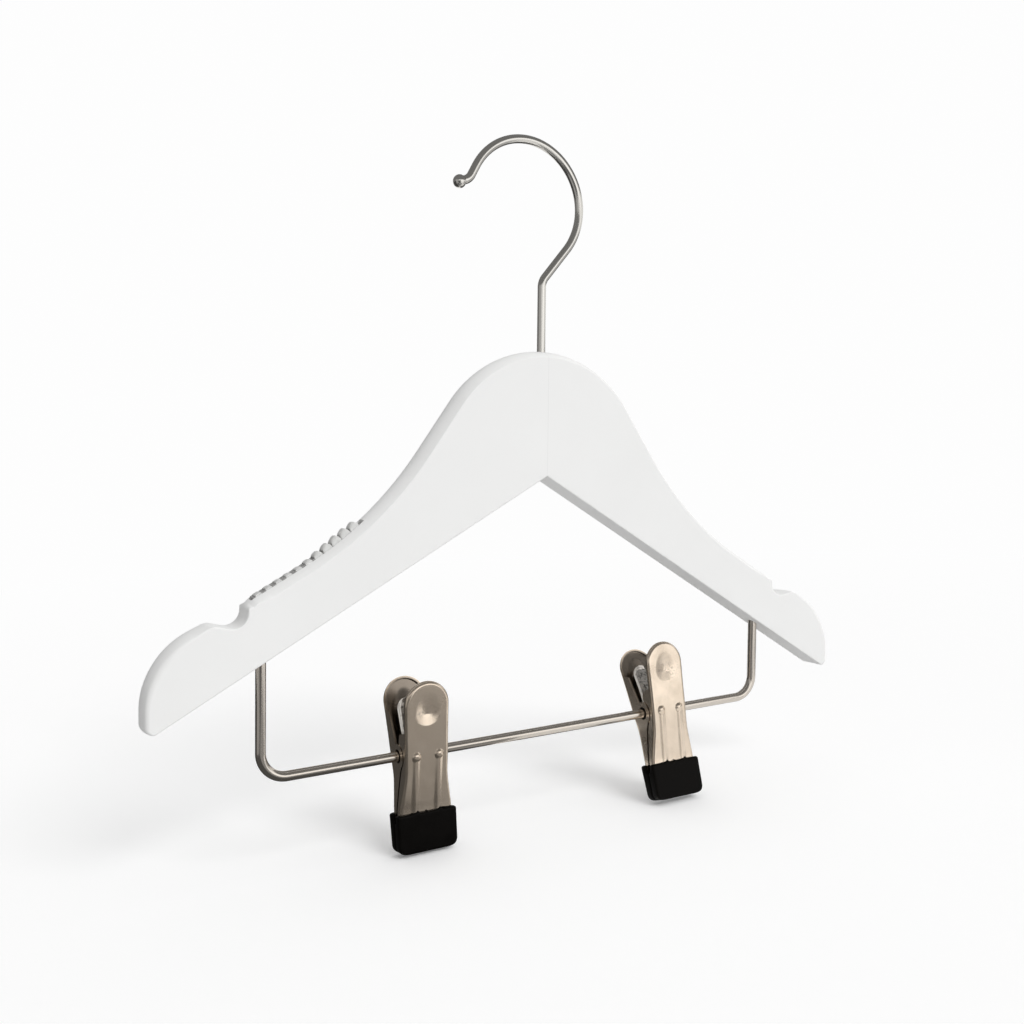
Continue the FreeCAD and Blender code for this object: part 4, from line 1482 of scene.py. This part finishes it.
@dataclass(frozen=True)
class Card:
    """Card round the hanger that only a mirror sees, as a photographer's flag or bounce board for metal.

    It is what a line, given by distances from the middle and heights above the floor in metres, sweeps
    between two azimuths, which count in degrees from the front (-Y) towards the right.
    """

    name: str
    level: float
    line: tuple[tuple[float, float], ...]
    azimuths: tuple[float, float] = (-180.0, 180.0)
    steps: int = 73

    def build(self, floor: Floor) -> None:
        """Make the card and hide it from every ray but a mirror's.

        Args:
            floor: floor that the heights count from.
        """
        turn = np.radians(np.linspace(*self.azimuths, self.steps))
        distance, height = np.array(self.line).T[:, :, None]
        x = distance * np.sin(turn)
        points = np.stack([x, -distance * np.cos(turn), floor.z(x) + height], axis=2)
        mesh = bpy.data.meshes.new(self.name)
        mesh.from_pydata(points.reshape(-1, 3).tolist(), [], grid_faces(*x.shape).tolist())
        card = add_object(self.name, mesh)
        felt = blank_material(self.name)
        glow = add_node(felt.node_tree, "Emission", {"Strength": self.level})
        add_node(felt.node_tree, "OutputMaterial", {"Surface": glow})
        mesh.materials.append(felt)
        for ray in ("camera", "diffuse", "transmission", "volume_scatter", "shadow"):
            setattr(card, "visible_" + ray, False)


NEAR = ((0.0, 0.001), (0.3, 0.001))
LOW = ((0.3, 0.001), (1.0, 0.001), (1.0, 0.25))
HIGH = ((1.0, 0.25), (1.0, 0.55))


@dataclass
class Studio:
    """White floor and background, one soft lamp in front, cards for the metal, and the camera."""

    floor_albedo: str = "#dadada"
    floor_seen: str = "#f9f9f9"
    floor_glow: float = 0.125
    floor_reach: float = 8.0
    floor_fade: tuple[float, float] = (0.4, 1.0)
    world_seen: float = 0.985
    world_light: tuple[float, float] = (0.32, 1.0)
    lamp_strength: float = 1.28
    lamp_angle: float = 28.0
    lamp_way: tuple[float, float, float] = (0.157, -0.772, 0.616)
    camera_place: tuple[float, float, float] = (-0.2193, -0.3674, -0.121215)
    camera_turns: tuple[float, float, float] = (29.43, -2.38, -0.68)
    lens: float = 38.672
    cards: tuple[Card, ...] = (
        Card("near_front_mat", 0.32, NEAR, (-50.0, 25.0)),
        Card("near_left_mat", 0.1, NEAR, (-100.0, -50.0)),
        Card("near_back_left_mat", 0.07, NEAR, (-180.0, -100.0)),
        Card("near_back_right_mat", 0.12, NEAR, (100.0, 150.0)),
        Card("soft_box", 1.4, ((0.97, 0.0), (0.97, 0.45)), (-4.0, 44.0)),
        Card("front_flag", 0.14, LOW, (-52.0, -8.0)),
        Card("left_bounce", 0.42, LOW, (-96.0, -52.0)),
        Card("back_left_flag", 0.07, LOW, (-180.0, -96.0)),
        Card("right_bounce", 0.55, LOW, (48.0, 100.0)),
        Card("back_right_flag", 0.12, LOW, (100.0, 150.0)),
        Card("high_left_bounce", 0.5, HIGH, (-100.0, -40.0)),
        Card("high_back_left_flag", 0.22, HIGH, (-180.0, -100.0)),
        Card("ceiling", 0.22, ((0.0, 0.55), (1.0, 0.55))),
    )

    def build(self, floor: Floor) -> None:
        """Set up the stage.

        Args:
            floor: floor that the clips stand on.
        """
        self.build_world()
        self.build_floor(floor)
        for card in self.cards:
            card.build(floor)
        self.build_lamp()
        self.build_camera()
        bpy.context.scene.view_settings.view_transform = "Standard"

    def seen(self, tree: Tree) -> Socket:
        """Value that is 1 where the camera, a mirror or glass looks, and 0 for light on its way.

        Args:
            tree: node tree that takes the nodes.

        Returns:
            The value.
        """
        total = add_node(tree, "LightPath", {}, output="Is Camera Ray")
        for name in ("Is Glossy Ray", "Is Transmission Ray"):
            ray = add_node(tree, "LightPath", {}, output=name)
            total = add_node(tree, "Math", {0: total, 1: ray}, {"operation": "MAXIMUM"})
        return total

    def build_world(self) -> None:
        """White to the camera, a mirror or glass, and a dimmer light for the rest, weaker at the left."""
        world = bpy.data.worlds.new("studio_world")
        bpy.context.scene.world = world
        world.use_nodes = True
        tree = world.node_tree
        tree.nodes.clear()
        way = add_node(tree, "TexCoord", {}, output="Generated")
        right = add_node(tree, "SeparateXYZ", {0: way}, output="X")
        dim, bright = self.world_light
        soft = add_node(tree, "MapRange", {0: right, 1: -1.0, 2: 1.0, 3: dim, 4: bright})
        level = add_node(tree, "MapRange", {0: self.seen(tree), 3: soft, 4: self.world_seen})
        glow = add_node(tree, "Background", {"Color": linear("#ffffff"), "Strength": level})
        add_node(tree, "OutputWorld", {"Surface": glow})

    def build_floor(self, ground: Floor) -> None:
        """Pale floor that looks white up to the background, and keeps the hanger's shadow.

        Args:
            ground: place of the floor.
        """
        mesh = bpy.data.meshes.new("studio_floor")
        reach = self.floor_reach
        corners = [(-reach, -reach), (reach, -reach), (reach, reach), (-reach, reach)]
        mesh.from_pydata([(x, y, ground.z(x)) for x, y in corners], [], [(0, 1, 2, 3)])
        floor = add_object("studio_floor", mesh)
        paper = blank_material("matt_white_paper")
        tree = paper.node_tree
        seen = self.seen(tree)
        colours = {0: seen, 6: linear(self.floor_albedo), 7: linear(self.floor_seen)}
        colour = add_node(tree, "Mix", colours, COLOUR_MIX, COLOUR_OUT)
        matt = add_node(tree, "BsdfDiffuse", {"Color": colour})
        level = add_node(tree, "MapRange", {0: seen, 3: 0.0, 4: self.floor_glow})
        glow = add_node(tree, "Emission", {"Strength": level})
        lit = add_node(tree, "AddShader", {0: matt, 1: glow})
        place = add_node(tree, "TexCoord", {}, output="Object")
        away = add_node(tree, "VectorMath", {0: place}, {"operation": "LENGTH"}, "Value")
        near, far = self.floor_fade
        fade = add_node(tree, "MapRange", {0: away, 1: near, 2: far, 3: 0.0, 4: 1.0})
        share = add_node(tree, "Math", {0: fade, 1: seen}, PRODUCT)
        white = add_node(tree, "Emission", {"Strength": self.world_seen})
        surface = add_node(tree, "MixShader", {0: share, 1: lit, 2: white})
        add_node(tree, "OutputMaterial", {"Surface": surface})
        mesh.materials.append(paper)

    def build_lamp(self) -> None:
        """Broad soft lamp in front of the hanger and above it, which mirrors see as the soft box card."""
        lamp = bpy.data.lights.new("key_lamp", "SUN")
        lamp.energy = self.lamp_strength
        lamp.angle = math.radians(self.lamp_angle)
        holder = add_object("key_lamp", lamp)
        holder.visible_glossy = False
        way = np.array(self.lamp_way)
        holder.matrix_world = self.facing(way, -way, 0.0)

    def facing(self, place: np.ndarray, aim: np.ndarray, roll: float) -> Matrix:
        """Matrix of a lamp or camera.

        Args:
            place: where it stands.
            aim: the way it looks.
            roll: angle that it is rolled by, in radians.

        Returns:
            The matrix from its own axes to the world's.
        """
        forward = aim / np.linalg.norm(aim)
        right = np.array([forward[1], -forward[0], 0.0]) / math.hypot(forward[0], forward[1])
        down = np.cross(forward, right)
        cosine = math.cos(roll)
        sine = math.sin(roll)
        matrix = np.eye(4)
        matrix[:3, 0] = cosine * right + sine * down
        matrix[:3, 1] = sine * right - cosine * down
        matrix[:3, 2] = -forward
        matrix[:3, 3] = place
        return Matrix(matrix.tolist())

    def build_camera(self) -> None:
        """Camera at the photograph's place and angle."""
        camera = bpy.data.cameras.new("photo_camera")
        camera.lens = self.lens
        camera.sensor_width = 36.0
        camera.clip_start = 0.01
        holder = add_object("photo_camera", camera)
        yaw, pitch, roll = np.radians(self.camera_turns)
        flat = math.cos(pitch)
        aim = np.array([math.sin(yaw) * flat, math.cos(yaw) * flat, math.sin(pitch)])
        holder.matrix_world = self.facing(np.array(self.camera_place), aim, roll)
        bpy.context.scene.camera = holder


HIDDEN_LOOKS = {"joint_dowels": Look.bare_wood, "hook_bush": Look.bush_brass}
FLOOR_GAP = 0.4 * MM


def standing_floor() -> Floor:
    """Floor just under the lowest points of both clips' tips.

    Returns:
        The floor's plane.
    """
    feet = []
    for clip in ("left_clip", "right_clip"):
        front, back = (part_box(clip + half) for half in ("_front_tip", "_back_tip"))
        low, high = front if front[0].z <= back[0].z else back
        feet.append((0.5 * (low.x + high.x), low.z))
    (left_x, left_z), (right_x, right_z) = feet
    rise = (right_z - left_z) / (right_x - left_x)
    return Floor(left_z - rise * left_x - FLOOR_GAP, rise)


def main() -> None:
    """Build every piece and the studio."""
    logging.basicConfig(level=logging.INFO, format="%(message)s")
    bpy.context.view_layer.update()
    for node, look in HIDDEN_LOOKS.items():
        dress(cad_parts[node], look)
    Arm(-1).build("arm_left")
    Arm(1).build("arm_right")
    Hook().build()
    bar = ClipBar()
    bar.build()
    GripStrip(-1, 1.8).build("grip_strip_left")
    GripStrip(1, 0.0, ledge=-0.9, nub_top=-0.4).build("grip_strip_right")
    Clip(ClipPlace("left_clip", -50.3, 5.0, bar)).build()
    Clip(ClipPlace("right_clip", 60.0, 17.5, bar)).build()
    Studio().build(standing_floor())


if __name__ == "__main__":
    main()
